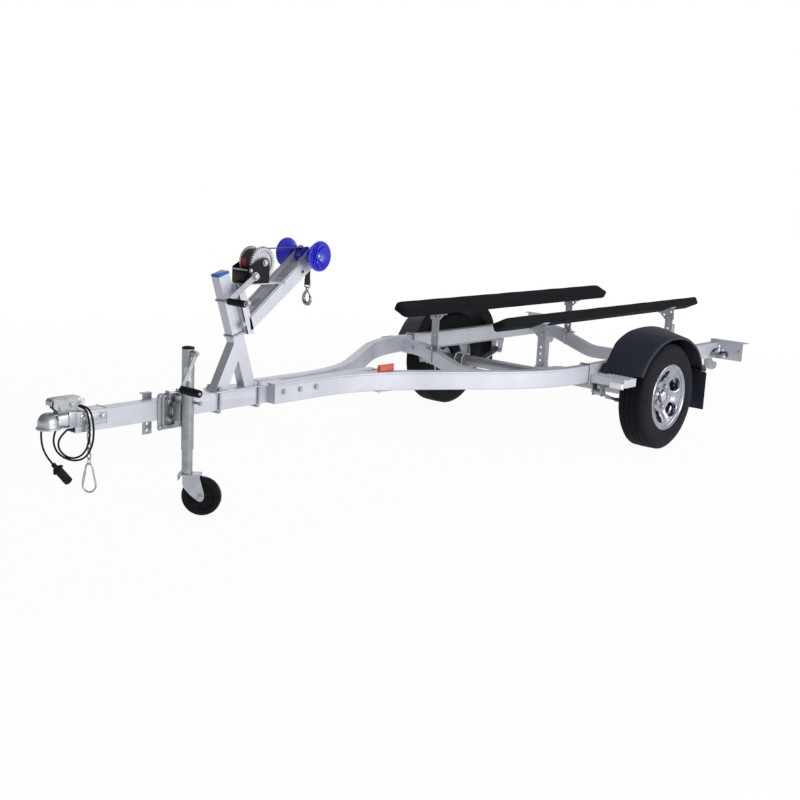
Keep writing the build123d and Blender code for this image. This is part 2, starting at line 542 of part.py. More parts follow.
wf -= cyl_y(9 + RUN_FIT, CRANK_X, CRANK_Z, -60, 60)
put("winch_frame", wf)

drum = cyl_y(10, DRUM_X, DRUM_Z, -58, 58) + cyl_y(24, DRUM_X, DRUM_Z, -44, 44)
drum += cyl_y(SPOOL_R, DRUM_X, DRUM_Z, -36, 30)
GEAR_R = 69.0
GEAR_TEETH = 40
TOOTH = 5.0
gear_rows = []
for i in range(GEAR_TEETH):
    for share, r in ((0.0, GEAR_R - TOOTH), (0.28, GEAR_R), (0.52, GEAR_R), (0.8, GEAR_R - TOOTH)):
        a = 2 * math.pi * (i + share) / GEAR_TEETH
        gear_rows.append((DRUM_X + r * math.cos(a), DRUM_Z + r * math.sin(a)))
drum += slab_xz(gear_rows, 30, 42) + cyl_y(64, DRUM_X, DRUM_Z, -42, -36)
put("winch_drum", drum)

wc = cyl_y(9, CRANK_X, CRANK_Z, 43, 84) + cyl_y(14, CRANK_X, CRANK_Z, 60, 80)
ex, ez = CRANK_X + 146, CRANK_Z - 98
n = math.hypot(ex - CRANK_X, ez - CRANK_Z)
px, pz = -(ez - CRANK_Z) / n * 13, (ex - CRANK_X) / n * 13
arm_rows = [(CRANK_X + px, CRANK_Z + pz), (CRANK_X - px, CRANK_Z - pz), (ex - px, ez - pz), (ex + px, ez + pz)]
wc += slab_xz(arm_rows, 68, 74)
wc += cyl_y(13, ex, ez, 66, 78) + cyl_y(15, ex, ez, 76, 180)
put("winch_crank", wc)

# Strap from the drum over the bow roller's waist, with swivel and hook
WAIST_R = 30.0
SEAT_GAP = 0.3
STRAP_T = 2.0
STRAP_W = 32.0
STRAP_END_Z = 905.0
r_in = WAIST_R + SEAT_GAP
r_out = r_in + STRAP_T
spool_z = DRUM_Z + SPOOL_R + SEAT_GAP
strap = slab_xz([(ROLLER_X, ROLLER_Z + r_in), (ROLLER_X, ROLLER_Z + r_out), (DRUM_X, spool_z + STRAP_T),
                 (DRUM_X, spool_z)], -STRAP_W / 2, STRAP_W / 2)
turn = cyl_y(r_out, ROLLER_X, ROLLER_Z, -STRAP_W / 2, STRAP_W / 2) - cyl_y(r_in, ROLLER_X, ROLLER_Z, -30, 30)
strap += turn & box(ROLLER_X - 60, ROLLER_X, -30, 30, ROLLER_Z, ROLLER_Z + 60)
strap += box(ROLLER_X - r_out, ROLLER_X - r_in, -STRAP_W / 2, STRAP_W / 2, STRAP_END_Z, ROLLER_Z)
HANG_X = ROLLER_X - (r_in + r_out) / 2
strap += box(HANG_X - 4, HANG_X + 4, -18, 18, STRAP_END_Z - 3, STRAP_END_Z + 5)
strap += cyl_z(5, HANG_X, 0, 872, STRAP_END_Z)
strap += Pos(HANG_X, 0, 846) * Rot(0, 0, 90) * (Rot(90, 0, 0) * Torus(24, 5))
put("winch_strap", strap)

# Profile rows: radius, then distance from the middle, out to one end
half_rows = [(WAIST_R, 17), (WAIST_R + 7, 18), (WAIST_R + 7, 20), (10, 20), (10, 56), (27, 56), (38, 74),
             (ROLLER_R - 6, 96), (ROLLER_R, 106), (ROLLER_R - 8, 113), (0, 113)]
roller_rows = [(r, -y) for r, y in reversed(half_rows)] + half_rows
put("bow_roller", Pos(ROLLER_X, 0, ROLLER_Z) * spun(roller_rows))

# Trailer cable, wound twice over the coupler, its end hanging down the far side to the plug
CABLE_R = 4.0
cable_rows = [
    (3196, 3, 415), (3219, -21, 386), (3230, -32, 345), (3217, -19, 308), (3190, 8, 291), (3163, 36, 306),
    (3151, 58, 350), (3149, 65, 402), (3150, 62, 446), (3151, 49, 480), (3154, 30, 493), (3158, 0, 495),
    (3161, -32, 492), (3169, -50, 472), (3194, -54, 436), (3228, -50, 398), (3243, -42, 352), (3228, -29, 306),
    (3189, 7, 281), (3162, 55, 298), (3140, 69, 350), (3137, 74, 402), (3138, 70, 446), (3139, 56, 480),
    (3142, 32, 494), (3146, 0, 495), (3149, -34, 492), (3158, -58, 470), (3188, -66, 452), (3232, -66, 450),
    (3268, -60, 444), (3288, -51, 408), (3289, -46, 352), (3269, -46, 300.6), (3240, -46, 266)]
runs = [(Vector(*b) - Vector(*a)) for a, b in zip(cable_rows, cable_rows[1:])]
turns = [math.radians(a.get_angle(b)) for a, b in zip(runs, runs[1:])]
bends = [0.45 * min(a.length, b.length) / math.tan(t / 2) for a, b, t in zip(runs, runs[1:], turns)]
cable_path = FilletPolyline(*cable_rows, radius=bends)
cable = sweep(Plane(origin=cable_path @ 0, z_dir=cable_path % 0) * Circle(CABLE_R), path=cable_path)
print("cable length", round(cable_path.length, 1), "volume ratio",
      round(cable.volume / (cable_path.length * math.pi * CABLE_R ** 2), 4), "least bend", round(min(bends), 1),
      "greatest turn", round(math.degrees(max(turns)), 1))
put("trailer_cable", cable)

PLUG_IN = 0.3
plug_dir = runs[-1].normalized()
plug_at = Plane(origin=Vector(*cable_rows[-1]) + plug_dir * PLUG_IN, z_dir=plug_dir)
plug = plug_at * Pos(0, 0, 14) * Cylinder(9.5, 28)
plug += plug_at * Pos(0, 0, 63) * Cylinder(17.5, 78)
plug += plug_at * Pos(0, 0, 32) * Box(46, 12, 8)
put("trailer_plug", plug)


# Safety chain with separate links, and a pear-shaped snap hook
def link(x, y, z, turn, wire=5.0, long=31.0, wide=20.0):
    """One flat-sided link, standing on end."""
    body = SlotOverall(long, wide) - SlotOverall(long - 2 * wire, wide - 2 * wire)
    return Pos(x, y, z) * Rot(0, 0, turn) * Rot(0, 90, 0) * extrude(body, amount=wire / 2, both=True)


PITCH = 20.4
LINKS = 8
chain = []
for i in range(LINKS):
    chain.append(link(CHAIN_X, CHAIN_Y, CHAIN_TOP - PITCH * i, 90 - 90 * (i % 2)))
hook_rim = [(9, 11), (16, 0), (29, -70), (29, -86), (17, -104)]
hook_eye = [(4, 2), (8, -4), (20, -68), (20, -84), (11, -97)]
pear = make_face(Polyline(*hook_rim, (0, -110), *[(-u, v) for u, v in reversed(hook_rim)], close=True))
pear -= make_face(Polyline(*hook_eye, (0, -101), *[(-u, v) for u, v in reversed(hook_eye)], close=True))
snap_place = Pos(CHAIN_X, CHAIN_Y, CHAIN_TOP - PITCH * (LINKS - 1) - 18.5) * Rot(0, 0, 131) * Rot(90, 0, 0)
snap = snap_place * extrude(pear, amount=4, both=True)
put("safety_chain", Compound(children=chain + [snap]))

print("MID", MID, "jockey wheel", round(WHEEL_JX - MID, 2), round(WHEEL_JY, 2))
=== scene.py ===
import json
from math import atan, atan2, cos, exp, pi, radians, sin, sqrt, tan

import bmesh
import bpy
from mathutils import Matrix, Vector


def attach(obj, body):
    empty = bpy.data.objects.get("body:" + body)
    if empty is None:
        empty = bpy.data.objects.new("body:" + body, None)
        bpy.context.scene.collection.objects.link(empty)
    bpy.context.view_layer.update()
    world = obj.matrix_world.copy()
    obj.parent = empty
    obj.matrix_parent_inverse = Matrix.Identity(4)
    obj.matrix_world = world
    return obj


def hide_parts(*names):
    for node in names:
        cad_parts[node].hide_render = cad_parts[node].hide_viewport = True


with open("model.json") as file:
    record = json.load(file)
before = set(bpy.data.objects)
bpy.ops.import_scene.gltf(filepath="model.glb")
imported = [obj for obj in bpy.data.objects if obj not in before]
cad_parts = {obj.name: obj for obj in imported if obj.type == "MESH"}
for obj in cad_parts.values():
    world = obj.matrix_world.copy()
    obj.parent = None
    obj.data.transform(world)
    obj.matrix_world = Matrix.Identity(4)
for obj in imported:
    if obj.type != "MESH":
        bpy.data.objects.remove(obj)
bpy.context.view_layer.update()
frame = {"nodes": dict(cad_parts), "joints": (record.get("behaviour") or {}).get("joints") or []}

# Places are written as in the part's source: millimetres, X forwards from the axle line
MM = 0.001
AXLE_X = next(j for j in frame["joints"] if j["name"] == "wheel_left_spin")["pos_m"][0]
TO_FRAME = Matrix.Translation((AXLE_X, 0, 0)) @ Matrix.Scale(MM, 4)
SIDES = (("left", 1), ("right", -1))
AHEAD, LEFT, UP = (1, 0, 0), (0, 1, 0), (0, 0, 1)
BACK, DOWN = (-1, 0, 0), (0, 0, -1)


def metres(point):
    return TO_FRAME @ Vector(point)


def linked(name, data):
    """An object of the scene, unmoved."""
    obj = bpy.data.objects.new(name, data)
    bpy.context.scene.collection.objects.link(obj)
    return obj


# Shader maths
class Sum:
    """A shader value or colour socket with Python arithmetic."""

    def __init__(self, finish, socket):
        self.finish = finish
        self.socket = socket

    def _op(self, kind, other):
        return self.finish.node("Math", {0: self, 1: other}, operation=kind)

    def __add__(self, other):
        return self._op("ADD", other)

    def __sub__(self, other):
        return self._op("SUBTRACT", other)

    def __mul__(self, other):
        return self._op("MULTIPLY", other)

    __radd__, __rmul__ = __add__, __mul__


class Finish:
    """One material, or the world; its nodes are added by calls."""

    def __init__(self, name, world=None):
        self.mat = world or bpy.data.materials.new(name)
        self.mat.use_nodes = True
        self.tree = self.mat.node_tree
        self.shader = self.tree.nodes.get("Principled BSDF")

    def put(self, target, value):
        if isinstance(value, Sum):
            self.tree.links.new(value.socket, target)
        elif hasattr(target.default_value, "__len__") and not hasattr(value, "__len__"):
            target.default_value = [value] * len(target.default_value)
        elif hasattr(value, "__len__") and len(value) == 3 and len(target.default_value) == 4:
            target.default_value = (*value, 1.0)
        else:
            target.default_value = value

    def node(self, kind, sockets=(), out=0, **settings):
        made = self.tree.nodes.new("ShaderNode" + kind)
        for key, value in settings.items():
            setattr(made, key, value)
        for key, value in dict(sockets).items():
            self.put(made.inputs[key], value)
        return Sum(self, made.outputs[out])

    def place(self, stretch=(1, 1, 1)):
        """Object coordinates, scaled along each axis."""
        here = self.node("TexCoord", out="Object")
        return self.node("Mapping", {"Vector": here, "Scale": stretch}, vector_type="POINT")

    def noise(self, scale, detail=3.0, rough=0.55, stretch=(1, 1, 1)):
        sockets = {"Vector": self.place(stretch), "Scale": scale, "Detail": detail, "Roughness": rough}
        return self.node("TexNoise", sockets, "Fac")

    def waves(self, direction, scale, distortion=0.0):
        sockets = {"Vector": self.place(), "Scale": scale, "Distortion": distortion}
        return self.node("TexWave", sockets, "Fac", bands_direction=direction)

    def ramp(self, value, *stops):
        made = self.node("ValToRGB", {"Fac": value}, "Color")
        elements = made.socket.node.color_ramp.elements
        while len(elements) < len(stops):
            elements.new(0.5)
        for stop, (place, tone) in zip(elements, stops):
            stop.position = place
            stop.color = (*tone, 1.0) if hasattr(tone, "__len__") else (tone, tone, tone, 1.0)
        return made

    def tint(self, factor, a, b):
        return self.node("Mix", {0: factor, 6: a, 7: b}, 2, data_type="RGBA")

    def bump(self, height, strength, distance):
        return self.node("Bump", {"Height": height, "Strength": strength, "Distance": distance}, "Normal")

    def surface(self, **sockets):
        for key, value in sockets.items():
            self.put(self.shader.inputs[key.replace("_", " ")], value)
        return self.mat


def mottled(name, dark, light, rough, swing, cloud, grain, bump, top=0.75, **more):
    """A finish in two close tones, with a wandering gloss and a fine grain."""
    f = Finish(name)
    haze = f.noise(cloud, 4.0)
    return f.surface(Base_Color=f.ramp(haze, (0.3, dark), (top, light)), Roughness=rough + swing * haze,
                     Normal=f.bump(f.noise(*grain), *bump), **more)


def zinc_plate(name, dark, light, metal=0.8, rough=0.32):
    """Zinc plate on pressed and turned steel."""
    return mottled(name, dark, light, rough, 0.14, 30.0, (380.0, 2.0), (0.06, 0.0003), 0.7, Metallic=metal)


def plain_plastic(name, dark, light, rough=0.4, shine=0.28):
    """A moulded plastic or paint."""
    return mottled(name, dark, light, rough, 0.12, 22.0, (420.0,), (0.12, 0.0003), Specular_IOR_Level=shine)


def mill_aluminium():
    """Extruded aluminium: fine drawn streaks along the length and faint handling marks."""
    f = Finish("mill_aluminium")
    streak = f.noise(1.0, 4.0, stretch=(6, 420, 420))
    cloud = f.noise(5.0)
    marks = f.noise(3.0, 6.0, 0.7, (30, 60, 30))
    tone = f.ramp(0.6 * cloud + 0.4 * streak, (0.3, (0.47, 0.48, 0.53)), (0.7, (0.60, 0.61, 0.67)))
    return f.surface(Base_Color=tone, Metallic=0.55, Roughness=0.34 + 0.14 * cloud + 0.10 * streak,
                     Normal=f.bump(0.7 * streak + 0.3 * marks, 0.12, 0.0006))


def galvanised():
    """Hot-dip zinc: spangle cells of slightly different tone and gloss, with small runs."""
    f = Finish("galvanised")
    cells = f.node("TexVoronoi", {"Vector": f.place(), "Scale": 95.0}, "Color")
    grey = f.node("RGBToBW", {"Color": cells})
    runs = f.noise(2.0, 5.0, 0.65, (40, 40, 12))
    tone = f.ramp(0.45 * grey + 0.55 * runs, (0.25, (0.32, 0.335, 0.365)), (0.75, (0.42, 0.435, 0.47)))
    return f.surface(Base_Color=tone, Metallic=0.75, Roughness=0.36 + 0.16 * grey + 0.08 * runs,
                     Normal=f.bump(0.3 * grey + 0.7 * runs, 0.06, 0.0005))


def machined_alloy():
    """Bright wheel alloy with a turned grain about the wheel's own axis."""
    f = Finish("machined_alloy")
    rings = f.noise(1.0, 2.0, stretch=(260, 8, 260))
    cloud = f.noise(14.0)
    tone = f.ramp(cloud, (0.3, (0.27, 0.28, 0.33)), (0.7, (0.40, 0.41, 0.47)))
    return f.surface(Base_Color=tone, Metallic=0.92, Roughness=0.17 + 0.10 * cloud + 0.05 * rings,
                     Normal=f.bump(cloud, 0.05, 0.0008))


def bunk_cover():
    """Black bunk carpet: a short looped pile, a little brushed along the run."""
    f = Finish("bunk_cover")
    pile = f.noise(1.0, 4.0, 0.7, (210, 420, 420))
    loops = f.node("TexVoronoi", {"Vector": f.place((0.8, 1, 1)), "Scale": 330.0}, "Distance")
    cloud = f.noise(7.0, 4.0, stretch=(1, 3, 3))
    tone = f.ramp(0.5 * pile + 0.5 * cloud, (0.3, (0.0055, 0.006, 0.0075)), (0.75, (0.013, 0.014, 0.017)))
    return f.surface(Base_Color=tone, Roughness=0.85 + 0.1 * pile, Specular_IOR_Level=0.12,
                     Normal=f.bump(0.6 * loops + 0.4 * pile, 0.6, 0.0016))


def webbing():
    """Woven strap: ribs across the strap and a twill along it."""
    f = Finish("webbing")
    ribs, across = f.waves("Z", 260.0, 0.4), f.waves("Y", 200.0)
    tone = f.ramp(0.5 * ribs + 0.5 * across, (0.2, (0.012, 0.012, 0.014)), (0.8, (0.055, 0.055, 0.062)))
    return f.surface(Base_Color=tone, Roughness=0.7, Normal=f.bump(ribs + across, 0.5, 0.0006))


def lens(name, colour):
    """A moulded lamp lens with fine flutes."""
    f = Finish(name)
    flutes = f.waves("X", 90.0)
    tone = f.ramp(flutes, (0.2, colour), (0.8, tuple(min(1.0, c * 1.35) for c in colour)))
    return f.surface(Base_Color=tone, Roughness=0.14 + 0.1 * flutes, Coat_Weight=0.6, Coat_Roughness=0.05,
                     Normal=f.bump(flutes, 0.2, 0.0006))


ALU, GALV, ALLOY, BUNK, WEB = mill_aluminium(), galvanised(), machined_alloy(), bunk_cover(), webbing()
ZINC = zinc_plate("zinc_plate", (0.35, 0.362, 0.385), (0.48, 0.495, 0.52))
DULL = zinc_plate("dull_zinc", (0.24, 0.265, 0.28), (0.34, 0.365, 0.38), 0.85, 0.26)
CUP = zinc_plate("coupler_zinc", (0.43, 0.45, 0.48), (0.52, 0.54, 0.57), 0.85, 0.36)
# A darker copy of zinc plate: painted shade for the jockey clamp's pressed hollow
PAINTED_SHADE_ZINC = zinc_plate("painted_shade_zinc", (0.15, 0.16, 0.165), (0.22, 0.232, 0.24), 0.6)
CHROME = zinc_plate("chrome_cap", (0.56, 0.57, 0.60), (0.66, 0.67, 0.70), 0.98, 0.08)
FORK = zinc_plate("fork_zinc", (0.36, 0.38, 0.42), (0.47, 0.49, 0.53), 0.5)
TYRE = mottled("tyre_rubber", (0.0062, 0.0064, 0.0085), (0.0125, 0.013, 0.017), 0.55, 0.2, 9.0, (260.0,),
               (0.25, 0.0004), Specular_IOR_Level=0.10)
GUARD = mottled("moulded_black", (0.012, 0.014, 0.024), (0.019, 0.021, 0.035), 0.42, 0.14, 4.0, (520.0, 2.0),
                (0.16, 0.0003), Specular_IOR_Level=0.2)
BLUE = mottled("roller_blue", (0.020, 0.020, 0.46), (0.030, 0.030, 0.62), 0.26, 0.14, 16.0, (240.0,),
               (0.08, 0.0003), Coat_Weight=0.25, Coat_Roughness=0.2)
PATCH = plain_plastic("pale_patch", (0.62, 0.62, 0.62), (0.72, 0.72, 0.72))
BLACK = plain_plastic("gloss_black_paint", (0.005, 0.005, 0.006), (0.009, 0.009, 0.011), 0.24, 0.16)
GRIP = plain_plastic("grip_rubber", (0.007, 0.007, 0.008), (0.015, 0.015, 0.017), 0.5, 0.10)
CASTOR = plain_plastic("castor_black", (0.006, 0.006, 0.008), (0.012, 0.012, 0.015), 0.3, 0.08)
CABLE = plain_plastic("cable_jacket", (0.006, 0.006, 0.007), (0.013, 0.013, 0.015), 0.42, 0.12)
CAP_BLUE = plain_plastic("cap_blue", (0.02, 0.10, 0.42), (0.03, 0.15, 0.52), 0.35)
RED = plain_plastic("red_band", (0.45, 0.025, 0.02), (0.58, 0.04, 0.03))
AMBER = lens("amber_lens", (0.52, 0.06, 0.015))
CLEAR = lens("white_lens", (0.80, 0.81, 0.84))


# Small steps on a bmesh; each gives the bmesh back
def placed(bm, place):
    bmesh.ops.transform(bm, matrix=place, verts=bm.verts)
    return bm


def welded(bm, gap=0.001):
    bmesh.ops.remove_doubles(bm, verts=bm.verts, dist=gap)
    return bm


def outward(bm):
    bmesh.ops.recalc_face_normals(bm, faces=bm.faces)
    return bm


def bevelled(bm, edges, width, segments=2):
    bmesh.ops.bevel(bm, geom=edges, offset=width, segments=segments, profile=0.5, affect="EDGES", material=-1)
    return bm


def pushed(bm, way):
    """The faces extruded by a vector."""
    side = bmesh.ops.extrude_face_region(bm, geom=bm.faces[:])
    moved = [v for v in side["geom"] if isinstance(v, bmesh.types.BMVert)]
    bmesh.ops.translate(bm, vec=way, verts=moved)
    return bm


def merge(into, shape, places=(Matrix(),)):
    """Adds a shape to a bmesh once for each place, and frees the shape."""
    held = bpy.data.meshes.new("held")
    shape.to_mesh(held)
    shape.free()
    for place in places:
        held.transform(place)
        into.from_mesh(held)
        held.transform(place.inverted())
    bpy.data.meshes.remove(held)
    return into


# Places, runs and outlines
def along(axis):
    """Turns Z to another axis."""
    return Vector(UP).rotation_difference(Vector(axis)).to_matrix().to_4x4()


def facing_y(y):
    """Places a plate drawn in (x, z) at Y = y, its thickness going to the left."""
    return Matrix(((1, 0, 0, 0), (0, 0, 1, y), (0, 1, 0, 0), (0, 0, 0, 1)))


def polar(r, degrees):
    return r * cos(radians(degrees)), r * sin(radians(degrees))


def circle(r, sides=14):
    return [polar(r, 360 * i / sides) for i in range(sides)]


def mirrored(half):
    """An outline of (u, v) points and its mirror image on the other side of u = 0."""
    return half + [(-u, v) for u, v in reversed(half)]


def arc(before, here, after, radius, steps):
    """The points of one rounded corner."""
    here = Vector(here)
    a, b = (Vector(before) - here).normalized(), (Vector(after) - here).normalized()
    half = a.angle(b) / 2
    middle = here + (a + b).normalized() * (radius / sin(half))
    start, end = ((here + way * (radius / tan(half)) - middle).normalized() for way in (a, b))
    return [middle + start.slerp(end, k / steps) * radius for k in range(steps + 1)]


def rounded(corners, radius, steps=5):
    """A closed outline with its corners rounded."""
    threes = zip([corners[-1], *corners], corners, [*corners[1:], corners[0]])
    return [p for three in threes for p in arc(*three, radius, steps)]


def bent(points, radius, steps=6):
    """A run of points with its corners rounded."""
    threes = zip(points, points[1:], points[2:])
    return [Vector(points[0]), *(p for three in threes for p in arc(*three, radius, steps)), Vector(points[-1])]


def flowing(points, steps=5):
    """A smooth run through a short list of points."""
    points = [Vector(p) for p in points]
    ends = [2 * points[0] - points[1], *points, 2 * points[-1] - points[-2]]
    out = []
    for a, b, c, d in zip(ends, ends[1:], ends[2:], ends[3:]):
        square, cube = 2 * a - 5 * b + 4 * c - d, 3 * b - 3 * c + d - a
        for k in range(steps):
            t = k / steps
            out.append(b + 0.5 * t * ((c - a) + t * (square + t * cube)))
    out.append(points[-1])
    return out


# Shapes: each call returns a small bmesh in millimetres
def block(x, y, z, round_by):
    """A box between pairs of values, its edges rounded."""
    bm = bmesh.new()
    bmesh.ops.create_cube(bm, size=1.0)
    size, middle = zip(*((b - a, (a + b) / 2) for a, b in (x, y, z)))
    placed(bm, Matrix.Translation(middle) @ Matrix.Diagonal((*size, 1)))
    return bevelled(bm, bm.edges[:], round_by)


def rod(start, end, r, r_end=None, sides=24):
    start, end = Vector(start), Vector(end)
    bm = bmesh.new()
    place = Matrix.Translation((start + end) / 2) @ along(end - start)
    bmesh.ops.create_cone(bm, cap_ends=True, segments=sides, radius1=r, radius2=r_end or r,
                          depth=(end - start).length, matrix=place)
    return bm


def turned(rows, centre, axis=LEFT, steps=64):
    """(radius, distance along the axis) rows spun about the axis, as a ring unless they start on it."""
    bm = bmesh.new()
    points = [bm.verts.new((r, 0, d)) for r, d in rows]
    following = points[1:] + points[:1] if rows[0][0] else points[1:]
    for a, b in zip(points, following):
        bm.edges.new((a, b))
    bmesh.ops.spin(bm, geom=bm.verts[:] + bm.edges[:], axis=UP, cent=(0, 0, 0), steps=steps, angle=2 * pi,
                   use_merge=True)
    return outward(placed(welded(bm, 0.01), Matrix.Translation(centre) @ along(axis)))


def plate(outline, thick, place):
    """A flat outline of (u, v) points, thickened along its normal."""
    bm = bmesh.new()
    bm.faces.new([bm.verts.new((u, v, 0)) for u, v in outline])
    return outward(placed(outward(pushed(bm, (0, 0, thick))), place))


def slab(outline, y0, y1):
    """An outline of (x, z) points from y0 to y1."""
    return plate(outline, y1 - y0, facing_y(y0))


def formed(rows):
    """A sheet laid through rows of points, each row as long as the others."""
    across, length = len(rows) - 1, len(rows[0]) - 1
    bm = bmesh.new()
    bmesh.ops.create_grid(bm, x_segments=across, y_segments=length, size=0.5)
    for vert in bm.verts:
        vert.co = rows[round((vert.co.x + 0.5) * across)][round((vert.co.y + 0.5) * length)]
    return bm


def walled(rows, thick):
    """A formed sheet with a wall thickness."""
    bm = outward(formed(rows))
    bmesh.ops.solidify(bm, geom=bm.faces[:], thickness=thick)
    return outward(bm)


def skinned(rows):
    """A closed skin through rows of points, capped at its ends."""
    bm = welded(formed(rows))
    bmesh.ops.holes_fill(bm, edges=[e for e in bm.edges if e.is_boundary], sides=0)
    return outward(bm)


def swept(points, section, up=UP, grow=None, closed=False):
    """A closed section outline carried along a run of points."""
    points = [Vector(p) for p in points]
    ends = [points[-1], *points, points[0]] if closed else [points[0], *points, points[-1]]
    rows, across = [], None
    for i, here in enumerate(points):
        ahead = (ends[i + 2] - ends[i]).normalized()
        if across is None:
            across = Vector(up).cross(ahead)
        across = (across - ahead * across.dot(ahead)).normalized()
        high = ahead.cross(across)
        size = grow[i] if grow else 1.0
        rows.append([here + across * u * size + high * v * size for u, v in [*section, section[0]]])
    return skinned(rows + rows[:1] if closed else rows)


def cutout(outlines, thick, place):
    """A flat plate with openings: the first outline is its rim, the others are its holes."""
    data = bpy.data.curves.new("flat", "CURVE")
    data.dimensions = "2D"
    data.fill_mode = "BOTH"
    data.extrude = thick / 2
    for outline in outlines:
        line = data.splines.new("POLY")
        line.points.add(len(outline) - 1)
        for held, (u, v) in zip(line.points, outline):
            held.co = (u, v, 0, 1)
        line.use_cyclic_u = True
    carrier = bpy.data.objects.new("flat", data)
    mesh = bpy.data.meshes.new_from_object(carrier)
    bm = bmesh.new()
    bm.from_mesh(mesh)
    bpy.data.meshes.remove(mesh)
    bpy.data.objects.remove(carrier)
    bpy.data.curves.remove(data)
    return outward(placed(welded(bm), place @ Matrix.Translation((0, 0, thick / 2))))


def bar(start, end, wide, y0, y1):
    """A flat bar with round ends between two (x, z) points, from y0 to y1."""
    a, b = Vector(start), Vector(end)
    lead = atan2(b.y - a.y, b.x - a.x)
    outline = []
    for at, turn in ((b, -pi / 2), (a, pi / 2)):
        for k in range(9):
            angle = lead + turn + pi * k / 8
            outline.append((at.x + wide / 2 * cos(angle), at.y + wide / 2 * sin(angle)))
    return slab(outline, y0, y1)


def ribbed_grip(start, end, r, pitch):
    """A moulded hand grip: a barrel with shallow rings, a collar at the arm and a domed end."""
    start, end = Vector(start), Vector(end)
    length = (end - start).length
    rows = [(0, 0), (r - 3, 0), (r, 1.5), (r, 5), (r - 1.5, 6.5)]
    d = 8.0
    while d < length - 12:
        swell = r - 2.2 + 1.8 * sin(pi * d / length)
        rows += [(swell, d), (swell + 0.9, d + 1.6), (swell + 0.9, d + 3.2), (swell, d + 4.6)]
        d += pitch
    rows += [(r - 1, length - 9), (r, length - 7), (r - 0.6, length - 3), (r - 3, length), (0, length)]
    return turned(rows, start, (end - start).normalized(), 32)


def hexagon(at, direction, across, height):
    """A hexagon head or nut standing on a face, chamfered on top."""
    at, direction = Vector(at), Vector(direction).normalized()
    bm = rod(at, at + direction * height, across / sqrt(3), sides=6)
    top = [f for f in bm.faces if f.normal.dot(direction) > 0.9]
    return bevelled(bm, list({e for f in top for e in f.edges}), height * 0.14)


def staple(legs, bend, r, up=AHEAD, steps=6, sides=14):
    """A round bar bent at each inner point of its legs."""
    return swept(bent(legs, bend, steps), circle(r, sides), up)


def chain_link(at, turn, length, width, wire):
    """One round-wire link standing on end; turn is the direction its flat faces, in degrees from X."""
    reach, half = (length - width) / 2, (width - wire) / 2
    across = Vector((-sin(radians(turn)), cos(radians(turn)), 0))
    run = []
    for end in (1, -1):
        for k in range(9):
            u, v = polar(half, 22.5 * k)
            run.append(Vector(at) + across * u * end + Vector((0, 0, end * (reach + v))))
    return swept(run, circle(wire / 2, 8), (across.y, -across.x, 0), closed=True)


class Piece:
    """One finished object, built up from shapes; it stands for the node it is named after, or for another."""

    def __init__(self, name, finishes, slot, body="frame", node=None):
        self.name, self.finishes, self.slot, self.body = name, finishes, slot, body
        self.node = name.rsplit("_", 1)[0] if node is None else node
        self.bm = bmesh.new()

    def add(self, shape, finish=0):
        for face in shape.faces:
            face.material_index = finish
            face.smooth = True
        merge(self.bm, shape)
        return self

    def bolt(self, at, direction, across=17.0, finish=1, stud=0.0):
        at, direction = Vector(at), Vector(direction).normalized()
        self.add(rod(at, at + direction * 2.0, across * 0.78, sides=20), finish)
        self.add(hexagon(at + direction * 2.0, direction, across, across * 0.45), finish)
        if stud:
            self.add(rod(at, at + direction * stud, across * 0.27, sides=14), finish)

    def pin(self, x, z, y0, y1, r, r_end=None, sides=24, finish=0):
        """A round pin that runs across the trailer."""
        self.add(rod((x, y0, z), (x, y1, z), r, r_end, sides), finish)

    def done(self, bevel=0.0, smooth=38.0, flip=False):
        if flip:
            placed(self.bm, Matrix.Diagonal((1, -1, 1, 1)))
            bmesh.ops.reverse_faces(self.bm, faces=self.bm.faces)
        placed(self.bm, TO_FRAME)
        mesh = bpy.data.meshes.new(self.name)
        self.bm.to_mesh(mesh)
        self.bm.free()
        mesh.set_sharp_from_angle(angle=radians(smooth))
        for finish in self.finishes:
            mesh.materials.append(finish)
        obj = linked(self.name, mesh)
        if bevel:
            edge = obj.modifiers.new("edges", "BEVEL")
            edge.width = bevel * MM
            edge.segments = 2
            edge.limit_method = "ANGLE"
            edge.angle_limit = radians(32)
            edge.harden_normals = True
            edge.miter_outer = "MITER_ARC"
        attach(obj, self.body)
        if self.node:
            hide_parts(self.node)
        return obj


def dressed(node, finishes, slot, name=None, body="frame"):
    """A piece that starts as a copy of a node of the frame, with its flat faces joined up."""
    bm = bmesh.new()
    bm.from_mesh(frame["nodes"][node].data)
    welded(placed(bm, TO_FRAME.inverted()), 0.02)
    bmesh.ops.dissolve_limit(bm, angle_limit=radians(1.0), verts=bm.verts, edges=bm.edges)
    return Piece(name or node + "_shell", finishes, slot, body, node).add(bm)


# Camera, at the photograph's angle
CAM_AT = (5610.3, 3754.7, 1459.3)
CAM_YAW, CAM_PITCH, CAM_ROLL = -2.4282, 0.2014, 0.0485
CAM_LENS, CAM_SENSOR = 51.75, 36.0

# Light, in metres and watts: the lamps, the plain light of the room and the tones of the backdrop
LAMPS = (("key", (0.7, 6.8, 2.4), 3.4, 312.0), ("side", (-3.8, 4.8, 2.6), 2.6, 70.0),
         ("back", (-2.5, -4.5, 4.0), 3.0, 60.0))
LAMP_AIM = Vector((0.3, 0, 0.4))
ROOM_LIGHT = (0.42, 0.43, 0.465)
BY_HEIGHT = (0.0, 1.0), (0.14, 1.0), (0.24, 0.48), (1.0, 0.24)
BY_SIDE = (0.1, 1.0), (0.7, 0.38)
SIDE_X, SIDE_Y = 0.756, 0.655
FLOOR_SIZE, FLOOR_NEAR, FLOOR_FAR, FLOOR_SHADE = 60.0, 2.6, 5.5, 0.95


